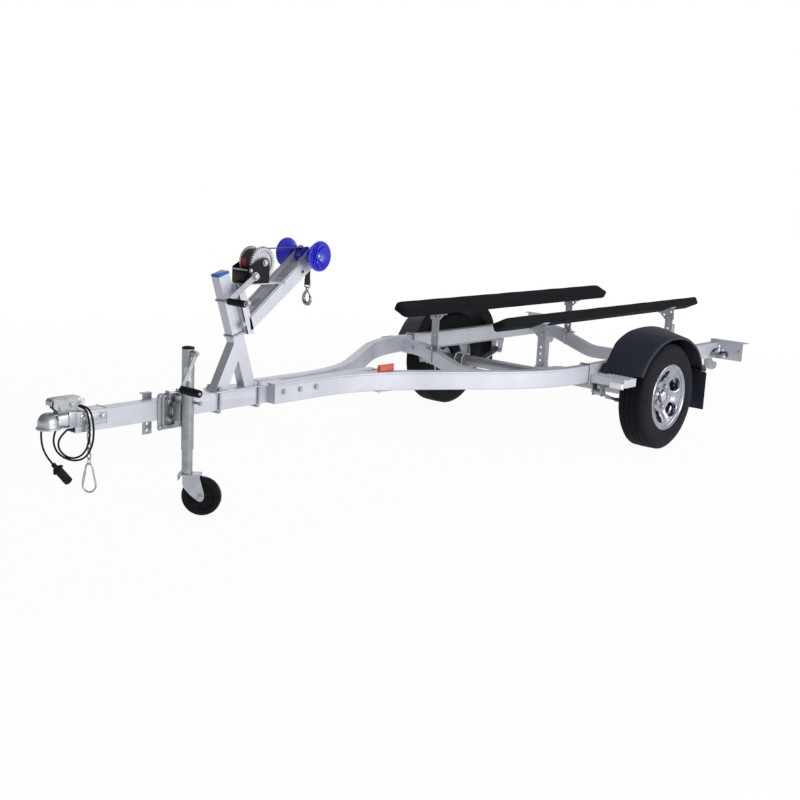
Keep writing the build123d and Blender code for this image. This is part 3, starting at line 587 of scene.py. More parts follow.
def add_camera():
    ahead = Vector((cos(CAM_YAW) * cos(CAM_PITCH), sin(CAM_YAW) * cos(CAM_PITCH), -sin(CAM_PITCH)))
    right = ahead.cross(Vector(UP)).normalized()
    up = right.cross(ahead)
    c, s = cos(CAM_ROLL), sin(CAM_ROLL)
    right, up = c * right + s * up, c * up - s * right
    data = bpy.data.cameras.new("camera")
    data.lens, data.sensor_width, data.clip_end = CAM_LENS, CAM_SENSOR, 200.0
    camera = linked("camera", data)
    camera.matrix_world = Matrix.Translation(metres(CAM_AT)) @ Matrix((right, up, -ahead)).transposed().to_4x4()
    bpy.context.scene.camera = camera


def seen_rays(f):
    """One for camera rays; and one for all that look: straight, reflected or through a clear lens."""
    rays = f.node("LightPath").socket.node.outputs
    camera, gloss, clear = (Sum(f, rays[n]) for n in ("Is Camera Ray", "Is Glossy Ray", "Is Transmission Ray"))
    return camera, f.node("Clamp", {"Value": camera + gloss + clear})


def add_stage():
    """A pale floor that keeps the shadow, a white surround and three soft lamps."""
    bpy.context.scene.world = bpy.data.worlds.new("studio")
    f = Finish("studio", bpy.context.scene.world)
    camera, shown = seen_rays(f)
    place = f.node("NewGeometry", out="Position")
    x, y, z = (Sum(f, out) for out in f.node("SeparateXYZ", {"Vector": place}).socket.node.outputs)
    backdrop = f.ramp(z, *BY_HEIGHT) * f.ramp(SIDE_X * x - SIDE_Y * y, *BY_SIDE)
    tone = f.tint(camera, f.tint(shown, ROOM_LIGHT, backdrop), (1, 1, 1))
    f.put(f.tree.nodes["Background"].inputs["Color"], tone)

    bm = bmesh.new()
    bmesh.ops.create_grid(bm, x_segments=1, y_segments=1, size=FLOOR_SIZE)
    mesh = bpy.data.meshes.new("floor")
    bm.to_mesh(mesh)
    bm.free()
    linked("floor", mesh)
    f = Finish("floor")
    away = f.node("VectorMath", {0: f.place()}, "Value", operation="LENGTH")
    far = f.node("MapRange", {"Value": away, "From Min": FLOOR_NEAR, "From Max": FLOOR_FAR,
                              "To Min": FLOOR_SHADE})
    white = f.node("Emission", {"Color": (1, 1, 1), "Strength": 1.0})
    f.surface(Base_Color=(0.82, 0.82, 0.83), Roughness=0.9, Specular_IOR_Level=0.1)
    both = f.node("MixShader", {0: seen_rays(f)[1] * far})
    f.tree.links.new(f.shader.outputs[0], both.socket.node.inputs[1])
    f.tree.links.new(white.socket, both.socket.node.inputs[2])
    f.tree.links.new(both.socket, f.tree.nodes["Material Output"].inputs["Surface"])
    mesh.materials.append(f.mat)

    for name, spot, size, power in LAMPS:
        data = bpy.data.lights.new(name, "AREA")
        data.size, data.energy = size, power
        aim = (LAMP_AIM - Vector(spot)).to_track_quat("-Z", "Y")
        linked(name, data).matrix_world = Matrix.Translation(spot) @ aim.to_matrix().to_4x4()
    bpy.context.scene.view_settings.view_transform = "Standard"


# Driving sizes of the trailer, as in the part's source
BAR_Z = 396.0
RAIL_Y, RAIL_W, RAIL_H, RAIL_BEND, NOSE_Y = 605.0, 50.0, 90.0, 870.0, 56.0
RAIL_Z = BAR_Z + RAIL_H / 2
RAIL_RUN = [(2210, NOSE_Y, RAIL_Z), (1656, NOSE_Y, RAIL_Z), (811, RAIL_Y, RAIL_Z), (-955, RAIL_Y, RAIL_Z)]
AXLE_Z = 290.0
TYRE_IN, TYRE_W = 673.0, 164.0
HUB_IN, FACE_Y = 742.0, 788.0
EYE_X, EYE_Z, SPRING_W = 360.0, 325.0, 45.0
CROSS_AT = {"front": 575.0, "rear": -800.0}
BUNK_ENDS = (-1140.0, 925.0)
BUNK_Y, BUNK_Z, BUNK_TILT = 335.0, 688.0, 25.0
JOCKEY_AT, JOCKEY_PIVOT, CRANK_Z = (2718.0, 112.0), 430.0, 680.0
CASTOR_TRAIL, CASTOR_REACH, CASTOR_Z = 131.0, 61.0, 82.5
BALL_X, BALL_Z, BALL_R, RIM_Z = 3289.0, 446.0, 25.4, 422.0
POST_SLOPE = 0.32
ROLLER_AT, DRUM_AT, CRANK_AT = (1985.0, 1045.0), (2262.0, 1020.0), (2332.0, 966.0)
DECK = 932.0


# Frame
def add_rails():
    """Extruded side rails with a rolled line under the top edge, three bolts, a U-bolt and a tail shoe."""
    half, high = RAIL_W / 2, RAIL_H / 2
    side = [(half - 3, -high), (half, 3 - high), (half, high - 12), (half - 2.6, high - 11.4),
            (half - 2.6, high - 8.6), (half, high - 8), (half, high - 2.5), (half - 2.5, high)]
    shoe = [(-862, 397), (-905, 397), (-930, 372), (-982, 360), (-988, 340), (-972, 322), (-930, 318),
            (-880, 340)]
    legs = [(509, RAIL_Y + y, z) for y, z in ((-31, 384), (-31, 491), (31, 491), (31, 384))]
    for name, s in SIDES:
        rail = Piece("rail_" + name + "_shell", [ALU, ZINC, DULL], "aluminium_channel")
        rail.add(swept(bent(RAIL_RUN, RAIL_BEND, 16), mirrored(side)))
        for x in (2158, 2058, 1957):
            rail.bolt((x, NOSE_Y + half, 448), LEFT, 18)
        rail.add(slab(rounded(shoe, 9), RAIL_Y - 16, RAIL_Y + 16), 2)
        rail.add(staple(legs, 9, 4.5), 1)
        rail.done(0.8, flip=s < 0)


def add_drawbar():
    drawbar = dressed("drawbar", [ALU, ZINC], "aluminium_channel")
    for x in (1508, 1560):
        for y in (-112, 112):
            drawbar.bolt((x, y, 390), DOWN)
    drawbar.done(1.6)


def add_crossmembers():
    for end, x in CROSS_AT.items():
        member = dressed("crossmember_" + end, [ALU, ZINC], "aluminium_channel")
        for s in (-1, 1):
            y = s * 362
            member.bolt((x + 25, s * 505, 428), AHEAD)
            member.bolt((x - 25, s * 505, 428), BACK)
            legs = [(x - 32, y, 452), (x - 32, y, 356), (x + 32, y, 356), (x + 32, y, 452)]
            member.add(staple(legs, 14, 5, LEFT), 1)
            for dx in (-32, 32):
                member.bolt((x + dx, y, 446), UP, 14)
        member.done(1.6)


def add_axle():
    top = AXLE_Z + 39
    axle = dressed("axle_beam", [GALV, ZINC], "galvanised")
    for y in (28 - RAIL_Y, -RAIL_Y - 28, RAIL_Y - 28, RAIL_Y + 28):
        axle.add(staple([(-41, y, 206), (-41, y, top), (41, y, top), (41, y, 206)], 36, 5.5, LEFT, 10), 1)
        for x in (-41, 41):
            axle.bolt((x, y, 222), DOWN)
    axle.done(0.8)


def add_springs():
    for name, s in SIDES:
        dressed("leaf_spring_" + name, [GALV], "galvanised").done(0.8)
    mounts = dressed("spring_mounts", [GALV, ZINC], "galvanised")
    for s in (-1, 1):
        for x in (-EYE_X, EYE_X):
            for way in (1, -1):
                mounts.bolt((x, s * (RAIL_Y + way * (SPRING_W / 2 + 5.5)), EYE_Z), (0, s * way, 0), 19)
    mounts.done(0.8)


# Wheels
SPOKES, SPOKE_TURN = 5, 44.0
WINDOW_R, WINDOW_REACH, WINDOW_HALF = 117, 30, 19.0
FACE_RADII = (26, 40, 60, 70, 78, 84, 86.6, 87.1, 88, 90, 94, 100, 108, 117, 126, 134, 140, 144, 146, 146.9,
              147.4, 149, 153, 160)
FACE_SHARES = (0, 0.2, 0.4, 0.6, 0.76, 0.88, 0.95, 0.985, 1)
TREAD_BLOCKS, TREAD_SHARE = 76, 0.87
TREAD_ROWS = ((23, 50, 289.0, -10), (54, 80, 290, 12), (84, 110, 290, -12), (114, 141, 289.0, 10))


def wheel_turns(count, y=0.0):
    """Places for count copies about the wheel's axis."""
    centre = Matrix.Translation((0, y, AXLE_Z))
    return [centre @ Matrix.Rotation(2 * pi * i / count, 4, "Y") for i in range(count)]


def tread_block(y0, y1, low, high, slant):
    """One tread block as a piece of the tyre's ring, leaning by slant millimetres."""
    bm = bmesh.new()
    bmesh.ops.create_cube(bm, size=1.0)
    bevelled(bm, [e for e in bm.edges if e.verts[0].co.z > 0 and e.verts[1].co.z > 0], 0.06, 1)
    for v in bm.verts:
        y = y0 + (v.co.y + 0.5) * (y1 - y0)
        r = low + (v.co.z + 0.5) * (high - low)
        lean = slant * (y - (y0 + y1) / 2) / (y1 - y0)
        a = (v.co.x * TREAD_SHARE + 0.5) * 2 * pi / TREAD_BLOCKS + lean / high
        v.co = (r * sin(a), y, r * cos(a))
    return outward(bm)


def smooth_step(value):
    held = min(1.0, max(0.0, value))
    return held * held * (3 - 2 * held)


def wheel_face():
    """The dished disc: broad spokes rising from the hub to the rim, with a rounded window between each two."""
    rows = []
    for r in FACE_RADII:
        reach = abs(r - WINDOW_R) / WINDOW_REACH
        window = WINDOW_HALF * (1 - reach ** 2.6) ** (1 / 2.6) if reach < 1 else 0.0
        row = []
        for u in [-u for u in FACE_SHARES[:0:-1]] + list(FACE_SHARES):
            x, z = polar(r, SPOKE_TURN + (180 / SPOKES - window) * u)
            y = FACE_Y + 34 * smooth_step((r - 68) / 78) - 7 * abs(u) ** 7 * window / WINDOW_HALF
            y -= 4.0 * smooth_step((r - 74) / 20) * (1 - u * u) * smooth_step((150 - r) / 12)
            row.append((x, y, z))
        rows.append(row)
    disc = merge(bmesh.new(), formed(rows), wheel_turns(SPOKES))
    return outward(pushed(welded(disc, 0.05), (0, -24, 0)))


def add_tyre(name, s):
    w = TYRE_W
    tyre = Piece("tyre_" + name + "_cover", [TYRE], "tyre", "wheel_" + name)
    bulge = [(180.5, 9), (192, 4), (212, 1), (236, 0.4), (258, 3.5), (274, 10), (283, 20), (286, 29)]
    wall = [(167, 18), (176, 13), *(p[:2] for p in flowing(bulge, 4))]
    half = [(r, y - 1.2 * exp(-((r - 202) / 2.5) ** 2) - 1.0 * exp(-((r - 250) / 2) ** 2)) for r, y in wall]
    rows = half + [(285.5, 48), (285.5, w / 2), (285.5, w - 48)] + [(r, w - y) for r, y in reversed(half)]
    rows += [(167, w - 34), (201, w - 26), (232, w - 12), (266, w - 20), (276, w / 2), (266, 20), (232, 12),
             (201, 26), (167, 34)]
    tyre.add(turned(rows, (0, TYRE_IN, AXLE_Z), steps=120))
    for y0, y1, high, slant in TREAD_ROWS:
        tread = tread_block(y0, y1, 283, high, slant)
        tyre.add(merge(bmesh.new(), tread, wheel_turns(TREAD_BLOCKS, TYRE_IN)))
    tyre.done(smooth=32, flip=s < 0)


def add_rim(name, s):
    """The rim's barrel, the face, a hub with its cap, a black disc behind the face as painted shade, a black
    ring round the cap and black discs under the five nuts as painted shadow, and the valve.
    """
    w, y, hub = TYRE_W, FACE_Y, HUB_IN
    rim = Piece("rim_" + name + "_face", [ALLOY, CHROME, GRIP, GALV], "alloy", "wheel_" + name)
    barrel = [(180, 10), (173.5, 4.5), (170, 8), (161, 22), (156, 44), (142, 62), (142, 112), (158, 128),
              (158, 140), (160, 151), (164, 154), (170, 155), (174, w - 4.5), (178, w - 4), (181, w - 6),
              (181, w - 11), (167, w - 18), (167, w - 38), (148, w - 50), (148, 70), (164, 50), (167, 34),
              (167, 18)]
    # drum: a black disc behind the face, painted shade seen through the windows; the wheel has no brake drum
    drum = [(64, hub - 20), (118, hub - 20), (122, hub - 14), (122, hub + 6), (116, hub + 12), (64, hub + 12)]
    cap = [(31, y - 1), (31, y + 3), (30, y + 5), (29.5, y + 11), (28, y + 15), (24, y + 18), (18, y + 20),
           (10, y + 21.4), (0.5, y + 22), (0.5, y - 1)]
    rim.add(turned(barrel, (0, TYRE_IN, AXLE_Z), steps=96))
    rim.add(wheel_face())
    # The galvanised hub, the black disc of painted shade, a black ring round the cap as painted shadow, and the
    # chrome cap
    for rows, steps, slot in (([(17.3, hub), (58, hub), (58, y - 11), (17.3, y - 11)], 64, 3), (drum, 64, 2),
                              ([(31, y - 1), (37, y - 1), (37, y + 0.6), (31, y + 0.6)], 48, 2), (cap, 48, 1)):
        rim.add(turned(rows, (0, 0, AXLE_Z), steps=steps), slot)
    pocket = [(15, y - 1), (16.5, y + 1.8), (14.5, y + 2.2), (13, y + 0.2), (13, y - 1)]
    for i in range(SPOKES):
        x, z = polar(57, SPOKE_TURN + 72 * i)
        z += AXLE_Z
        rim.add(turned(pocket, (x, 0, z), steps=28))
        # A black disc round each nut: painted shade in its pocket
        rim.pin(x, z, y - 1, y + 0.6, 14.6, finish=2)
        rim.add(hexagon((x, y - 1, z), LEFT, 18, 12), 1)
        rim.pin(x, z, y + 9, y + 14, 6.5, 4.0, finish=1)
    x, z = polar(1, SPOKE_TURN + 108)
    at, tip = Vector((130 * x, y + 2, AXLE_Z + 130 * z)), Vector((110 * x, y + 34, AXLE_Z + 110 * z))
    rim.add(rod(at, at.lerp(tip, 0.62), 5.6, 4.6, 18), 2)
    rim.add(rod(at.lerp(tip, 0.58), tip, 4.6, sides=18), 2)
    rim.done(1.0, 34, s < 0)


# Mudguards: x and z at the inner edge, then x and z at the outer lip
GUARD_ROWS = [
    (434, 441, 343, 441), (372, 512, 296, 505), (335, 560, 248, 548), (291, 602, 165, 596),
    (195, 640, 75, 619), (105, 653, 35, 623), (20, 657, -5, 623), (-70, 654, -48, 620),
    (-150, 643, -100, 612), (-228, 622, -172, 590), (-305, 580, -262, 538), (-366, 505, -316, 476),
    (-390, 406, -352, 406)]
GUARD_Y = (655.0, 848.0)
# Profiles across it: the share of its width, and the drop from its crest, 340 mm above the axle
GUARD_DROP = 340
GUARD_LIP = [(0.0, 0.0), (0.3, 0.0), (0.6, 0.0), (0.85, 0.0), (0.95, 0.0), (0.978, 0.7), (0.993, 2.6),
             (0.999, 5.5), (1.0, 10.0), (1.0, 15.0)]
# The inner skirt's profile; the skirt is drawn in a darker black as painted shade
GUARD_SKIRT = [(0.0, 62.0), (0.0, 30.0), (0.0, 2.0)]


def add_guard(name, s):
    """The shell with its rolled lip, the inner skirt in a darker black as painted shade, and the flap on two
    bolts.
    """
    y0, y1 = GUARD_Y
    inner = flowing([(x, y0, z) for x, z, _, _ in GUARD_ROWS], 6)
    outer = flowing([(x, y1, z) for _, _, x, z in GUARD_ROWS], 6)
    guard = Piece("mudguard_" + name + "_shell", [GUARD, ZINC, GRIP], "black_plastic")
    # Slot 2, the darker grip black, on the skirt is painted shade; the shell keeps the moulded black
    for slot, profile in ((0, GUARD_LIP), (2, GUARD_SKIRT)):
        rows = []
        for share, drop in profile:
            size = 1 - drop / GUARD_DROP
            spots = [a.lerp(b, share) for a, b in zip(inner, outer)]
            rows.append([(p.x * size, p.y, AXLE_Z + (p.z - AXLE_Z) * size) for p in spots])
        guard.add(walled(rows, 3.4), slot)
    guard.add(block((-394, -346), (y0 + 6, y1 - 2), (404, 408.5), 1.5))
    guard.add(block((-394, -390), (y0 + 6, y1), (174, 388), 1.2))
    guard.add(block((-394, -390), (y0 + 6, y1 - 34), (386, 429), 1.2))
    for y in (y0 + 34, y1 - 34):
        guard.bolt((-390, y, 416), AHEAD, 13, 2)
    guard.done(0.8, 42, s < 0)


def add_steps():
    """Step boxes and stays that carry the mudguards, with a dimpled tread."""
    for name, s in SIDES:
        step = dressed("guard_brackets_" + name, [ALU, ZINC], "aluminium_channel")
        for i in range(9):
            for k in range(4):
                dimple = [(0, 4.2), (3.2, 3.8), (6.2, 2.4), (7.8, -0.2)]
                step.add(turned(dimple, (416 + 24 * k, s * (654 + 21.5 * i), 440), UP, 12))
        for at in ((425, s * 630, 420), (478, s * 630, 420), (-418, s * 635, 426)):
            step.bolt(at, (0, s, 0), 15)
        step.done(1.4)


def add_tail():
    """Tail panels with their bolts, and a loose bunch of short wires at a pale disc."""
    tail = dressed("tail_panels", [ALU, ZINC, CABLE, PATCH], "aluminium_channel")
    for s in (-1, 1):
        for y in (590, 618):
            tail.bolt((-960.4, s * y, 406), BACK, 13)
        for drop, out, back in ((0, 0, 0), (13, 5, 14), (-7, 9, -16)):
            wire = [(-962, 641, 452), (-944, 641, 452), (-880 + back, 637, 440 - drop),
                    (-866 + back, 640 + out, 424 - drop), (-890, 648 + out, 416 - drop),
                    (-932, 664 + out, 432 - drop / 2), (-946, 690 + out, 430),
                    (-948, 704 - out, 414 + drop / 2), (-946, 684 - out, 404), (-940, 668, 410)]
            tail.add(swept(flowing([(x, s * y, z) for x, y, z in wire], 4), circle(1.9, 8)), 2)
        tail.add(rod((-936, s * 676, 408), (-950, s * 684, 404), 12, 10, 20), 3)
        tail.add(block((-938, -931), sorted((s * 655, s * 671)), (417, 436), 2.5), 2)
        tail.bolt((-955, s * 768, 443), AHEAD, 13)
    tail.done(0.9)


# Bunks
BUNK_SOFT_END, BUNK_END_SIZE = 44.0, 0.62


def add_bunks():
    """Carpeted runners with soft, slightly wavy edges and rounded ends."""
    outline = rounded([(-50, -25), (50, -25), (50, 25), (-50, 25)], 11.0)
    length = BUNK_ENDS[1] - BUNK_ENDS[0]
    ends = [0, 2, 6, 12, 20, 30, 40, 48]
    stations = ends + [48 + (length - 96) * i / 90 for i in range(1, 90)] + [length - d for d in reversed(ends)]
    c, t = polar(1, BUNK_TILT)
    for name, s in SIDES:
        rows = []
        for d in stations:
            near = min(d, length - d, BUNK_SOFT_END) / BUNK_SOFT_END
            size = BUNK_END_SIZE + (1 - BUNK_END_SIZE) * sqrt(1 - (1 - near) ** 2)
            wave = 0.8 * sin(d / 37.0 + s) + 0.6 * sin(d / 61.0 + 2.0 * s)
            row = []
            for u, v in [*outline, outline[0]]:
                u, v = u * size + 0.012 * wave * u, v * size + (wave * 0.35 if v > 0 else 0)
                row.append((BUNK_ENDS[0] + d, BUNK_Y + u * c - v * t, BUNK_Z + u * t + v * c))
            rows.append(row)
        bunk = Piece("bunk_" + name + "_cover", [BUNK], "bunk_black")
        bunk.add(skinned(rows))
        bunk.done(2.0, 60, s < 0)


def add_bunk_brackets():
    """Foot bolts, and the pivot bolt that joins the fan head to the perforated angle."""
    for end, x in CROSS_AT.items():
        for name, s in SIDES:
            bracket = dressed("bunk_bracket_" + end + "_" + name, [GALV, ZINC], "galvanised")
            bracket.bolt((x + 5, s * 368, 621.8), AHEAD)
            bracket.bolt((x - 5, s * 368, 621.8), BACK, stud=16)
            for dx in (-32, 32):
                bracket.bolt((x + dx, s * 362, 441.5), (0, -s * 0.32, 0.947), 15, stud=16)
            bracket.done(0.7)


# Coupler end: the sleeve's sections, each with its X, half width, foot, top and corner radius
SLEEVE = ((3048, 35, 420, 480, 4), (3184, 35, 420, 480, 4), (3204, 35.5, 421, 481, 9), (3228, 35, 422, 482, 17),
          (3250, 33, 423, 481.5, 19), (3262, 31, 424, 480, 16), (3263, 30, 472, 480, 3.5),
          (3276, 22, 474, 480, 2.5))


def add_coupler():
    """Pressed coupler: a sleeve over the drawbar, a neck and a domed ball cup."""
    cup = Piece("coupler_body", [CUP, GALV], "zinc_steel")
    rows = []
    for x, half, low, high, corner in SLEEVE:
        outline = rounded([(-half, low), (half, low), (half, high), (-half, high)], corner, 6)
        rows.append([(x, y, z) for y, z in [*outline, outline[0]]])
    cup.add(skinned(rows))
    dome = [(45, RIM_Z), (45.5, RIM_Z + 3), (44.5, RIM_Z + 6.5), (41, RIM_Z + 8.5), (39.3, RIM_Z + 12)]
    dome += [(r, BALL_Z + h) for r, h in (polar(39, a) for a in range(0, 90, 9))] + [(0, BALL_Z + 39)]
    dome += [(r, BALL_Z + h) for r, h in (polar(BALL_R, a) for a in range(90, -1, -10))] + [(BALL_R, RIM_Z)]
    cup.add(turned(dome, (BALL_X, 0, 0), UP))
    for s in (-1, 1):
        cup.add(block((3186, 3222), sorted((s * 34, s * 39)), (425, 484), 1.8), 1)
        cup.add(block((3056, 3170), (34, 37.5) if s > 0 else (-39, -34), (439, 466), 2.5))
        for x, z in ((3074, 453), (3154, 452)):
            cup.bolt((x, s * 37.5, z), (0, s, 0), finish=0)
        cup.add(block((3206, 3262), sorted((s * 28, s * 42)), (RIM_Z, RIM_Z + 4.5), 2.0))
    cup.add(block((3050, 3054), (-37, 37), (421, 482), 1.2))
    cup.pin(3141, 431, 34, 51, 4)
    cup.pin(3141, 431, 51, 55, 7, 5.5)
    cup.bolt((3168, 0, 422), DOWN, 19, 0, 14)
    cup.done(0.8, 45)


def add_latch():
    """The coupler's latch: two cheeks, a folded lid, its pins, a pull ring and a short chain."""
    latch = Piece("coupler_latch_parts", [ZINC, GALV], "zinc_steel")
    cheek = [(3168, 482), (3250, 482), (3271, 499), (3274, 512), (3272, 534), (3168, 534)]
    for y0, y1 in ((13, 17), (-17, -13)):
        latch.add(slab(rounded(cheek, 5, 4), y0, y1))
    latch.add(block((3166, 3256), (-17, 17), (480, 484), 1.2))
    lid = [(3160, 531), (3164, 536.5), (3258, 537), (3278, 534), (3284, 527), (3285, 512)]
    latch.add(swept([(x, 0, z) for x, z in lid], [(-20, -1.6), (20, -1.6), (20, 1.6), (-20, 1.6)]))
    latch.pin(3196, 508, -22, 22, 5)
    latch.add(block((3176, 3240), (-12.5, 12.5), (488, 524), 5), 1)
    for s in (-1, 1):
        latch.bolt((3196, s * 17, 508), (0, s, 0), 15, 0)
        latch.pin(3248, 505, s * 16, s * 21, 5.5, 4.5)
    ring = [(3154 + u, 20, 516 + v) for u, v in circle(12, 24)]
    latch.add(swept(ring, circle(1.6, 8), LEFT, closed=True))
    latch.add(block((3150, 3172), (14, 18), (508, 522), 1.2))
    for i in range(7):
        latch.add(chain_link((3248, 24, 494 - 10.6 * i), 90 * (i % 2), 15.5, 9.5, 2.2))
    latch.done(0.7, 42)
    dressed("drawbar_clip", [GALV, ZINC], "galvanised").done(0.8)


# Jockey wheel
def add_jockey_leg():
    """The clamp on the drawbar, and the tube with its cap, saddle, pull pin and blank patch."""
    x, y = JOCKEY_AT
    clamp = Piece("jockey_clamp", [GALV, ZINC, PAINTED_SHADE_ZINC], "galvanised", node="jockey_bracket")
    clamp.add(slab(rounded([(x - 40, 354), (x + 92, 354), (x + 92, 506), (x - 40, 506)], 10, 4), 31, 36))
    pressed = rounded([(x + 2, 362), (x + 74, 362), (x + 74, 500), (x + 2, 500)], 12)
    hollow = rounded([(x + 12, 372), (x + 64, 372), (x + 64, 490), (x + 12, 490)], 8)
    clamp.add(cutout([pressed, hollow], 9, facing_y(35)), 1)
    # A thin dark zinc sheet in the pressed hollow: painted shade
    clamp.add(slab(hollow, 35, 37), 2)
    for x0, x1, low, high in ((-6, 52, 503, 508), (46, 52, 486, 516), (-6, 0, 490, 518)):
        clamp.add(block((x + x0, x + x1), (31, 62), (low, high), 1.6), 1)
    clamp.add(turned([(0, 35), (34, 35), (34, 42), (30, 44), (0, 44)], (x, 0, JOCKEY_PIVOT), steps=48))
    clamp.pin(x, JOCKEY_PIVOT, 35, 80.5, 9)
    for dx, z, across in ((82, 364, 15), (82, 496, 15), (-30, 364, 15), (-30, 496, 15), (38, 392, 17),
                          (38, 470, 17)):
        clamp.bolt((x + dx, 36, z), LEFT, across)
    clamp.done(1.0)

    leg = Piece("jockey_leg_tube", [DULL, GRIP, GALV, PATCH], "zinc_steel", "jockey_leg", "jockey_outer_tube")
    leg.add(turned([(25.5, 278), (25.5, 696), (22.8, 696), (22.8, 278)], (x, y, 0), UP))
    cap = [(0, 706), (14, 705.2), (22, 703), (25.4, 700), (26, 697.5), (26, 695.6), (25, 695), (0, 695)]
    leg.add(turned(cap, (x, y, 0), UP, 48), 1)
    leg.add(block((x - 30, x + 30), (49.5, 56), (392, 470), 2.5), 2)
    for low, high in ((392, 397), (465, 470)):
        leg.add(block((x - 30, x + 30), (52, y - 16), (low, high), 1.5), 2)
    for side in (-30, 25):
        leg.add(block((x + side, x + side + 5), (52, y - 12), (394, 468), 1.5), 2)
    leg.add(turned([(0, 49.5), (34, 49.5), (34, 53), (31, 54.5), (0, 54.5)], (x, 0, JOCKEY_PIVOT), steps=48), 2)
    leg.pin(x, CRANK_Z, y + 22, y + 43.5, 13, sides=32)
    pin_x, pin_z = x - 32, 470
    leg.pin(pin_x, pin_z, 70, 118, 8.5, finish=2)
    leg.pin(pin_x, pin_z, 118, 150, 5.0, finish=2)
    leg.add(turned([(0, 0), (8, 0), (9, 2), (9, 10), (7, 13), (0, 13)], (pin_x, 146, pin_z), steps=20), 2)
    patch = [polar(25.9, 14 + 8.25 * k) for k in range(9)]
    leg.add(walled([[(x + u, y + v, z) for z in (566, 622)] for u, v in patch], 0.5), 3)
    leg.done(0.7, 40)
    dressed("jockey_inner_tube", [DULL], "zinc_steel", "jockey_ram_tube", "jockey_ram").done(0.8)


def add_castor():
    """Castor fork with a top plate and two cheeks bent down from it, and its solid-tyred wheel."""
    x, y = JOCKEY_AT
    reach = CASTOR_REACH
    fork = Piece("jockey_fork_parts", [FORK, ZINC], "galvanised", "jockey_castor")
    place = Matrix.Translation((x, y, 0)) @ Matrix.Rotation(radians(CASTOR_TRAIL), 4, "Z")
    for x0, x1, low in ((-34, reach - 2, 170), (-34, -30, 150)):
        fork.add(placed(block((x0, x1), (-29, 29), (low, 177), 1.8), place))
    cheek = [(-14, 173), (reach - 6, 173), (reach + 14, 100), (reach + 15, 82), (reach + 10, 69), (reach, 64),
             (reach - 12, 67), (reach - 44, 92), (reach - 66, 116), (reach - 75, 134)]
    for y0, y1 in ((25, 29), (-29, -25)):
        fork.add(placed(slab(rounded(cheek, 3.5, 4), y0, y1), place))
    centre, axis = place @ Vector((reach, 0, CASTOR_Z)), place.to_3x3() @ Vector(LEFT)
    fork.add(rod(centre - axis * 33, centre + axis * 33, 5.9))
    for s in (-1, 1):
        fork.bolt(centre + axis * s * 29, axis * s)
    fork.add(turned([(9.2, 176), (17, 176), (17, 180.5), (15, 182), (9.2, 182)], (x, y, 0), UP, 36), 1)
    fork.done(1.0)

    wheel = Piece("jockey_roller_parts", [CASTOR, GALV], "jockey_tyre", "jockey_roller", "jockey_wheel")
    half = [(CASTOR_Z, 8), (81, 13), (77, 17.2), (70, 18), (62, 17), (56, 15), (54, 10), (48, 8.5), (26, 8.5),
            (20, 12), (17, 21)]
    rows = [(r, -d) for r, d in reversed(half)] + half + [(6.1, 21), (6.1, -21)]
    wheel.add(turned(rows, centre, axis, 72))
    hub = Matrix.Translation(centre) @ along(axis)
    webs = [hub @ Matrix.Rotation(radians(45 * i), 4, "Z") for i in range(8)]
    wheel.add(merge(bmesh.new(), block((22, 52), (-1.8, 1.8), (-13, 13), 1.0), webs))
    wheel.done(0.6, 36)


def add_jockey_crank():
    x, y = JOCKEY_AT[0], JOCKEY_AT[1] + 43.5
    hand_x, hand_z = x + 74, CRANK_Z - 136
    crank = Piece("jockey_crank_parts", [ZINC, GRIP], "zinc_steel", "jockey_handle")
    crank.pin(x, CRANK_Z, y, y + 14, 12, 11, 32)
    crank.add(bar((x, CRANK_Z), (hand_x, hand_z), 17, y + 5.5, y + 11))
    crank.pin(hand_x, hand_z, y + 2, y + 16, 8.5, 7.5)
    crank.add(ribbed_grip((hand_x, y + 14, hand_z), (hand_x, y + 124, hand_z), 16.5, 11.0), 1)
    crank.pin(hand_x, hand_z, y + 123.4, y + 124.6, 5.5)
    crank.bolt((x, y + 14, CRANK_Z), LEFT, 13, 0)
    crank.done(0.6)


# Winch
def post_front(z):
    """X of the leaning post's front face at height z."""
    return 2338 + POST_SLOPE * (z - 480)


def post_back(z, gap=0.0):
    return post_front(z) - (60 + gap) / cos(atan(POST_SLOPE))


def add_post():
    """The leaning post with its end cap, two U-bolts round the drawbar and two round the post."""
    lean = atan(POST_SLOPE)
    ahead = Vector((cos(lean), 0, -sin(lean)))
    post = dressed("winch_post", [ALU, ZINC, CAP_BLUE], "aluminium_channel")
    middle = Vector((post_front(962), 0, 962)) - ahead * 30
    cap = block((-31, 31), (-26, 26), (0, 11), 3)
    post.add(placed(cap, Matrix.Translation(middle) @ Matrix.Rotation(lean, 4, "Y")), 2)
    for x in (2487, 2266):
        post.add(staple([(x, -38, 500), (x, -38, 386), (x, 38, 386), (x, 38, 500)], 12, 6.0), 1)
        for y in (-38, 38):
            post.bolt((x, y, 482), UP, 18)
    side = Vector((0, 31, 0))
    for z in (861, 707):
        front = Vector((post_front(z), 0, z))
        near, far = front + ahead * 4, front - ahead * 82
        post.add(staple([far + side, near + side, near - side, far - side], 9, 5, LEFT), 1)
        for s in (-1, 1):
            post.bolt(front - ahead * 66 + side * s, -ahead)
    post.done(2.2)


# The top edge of the folded arms, from head to foot, and the way down from it
ARM_HEAD, ARM_FOOT, ARM_DOWN = Vector((1962, 1084)), Vector((2345, 787)), Vector((-0.613, -0.790))


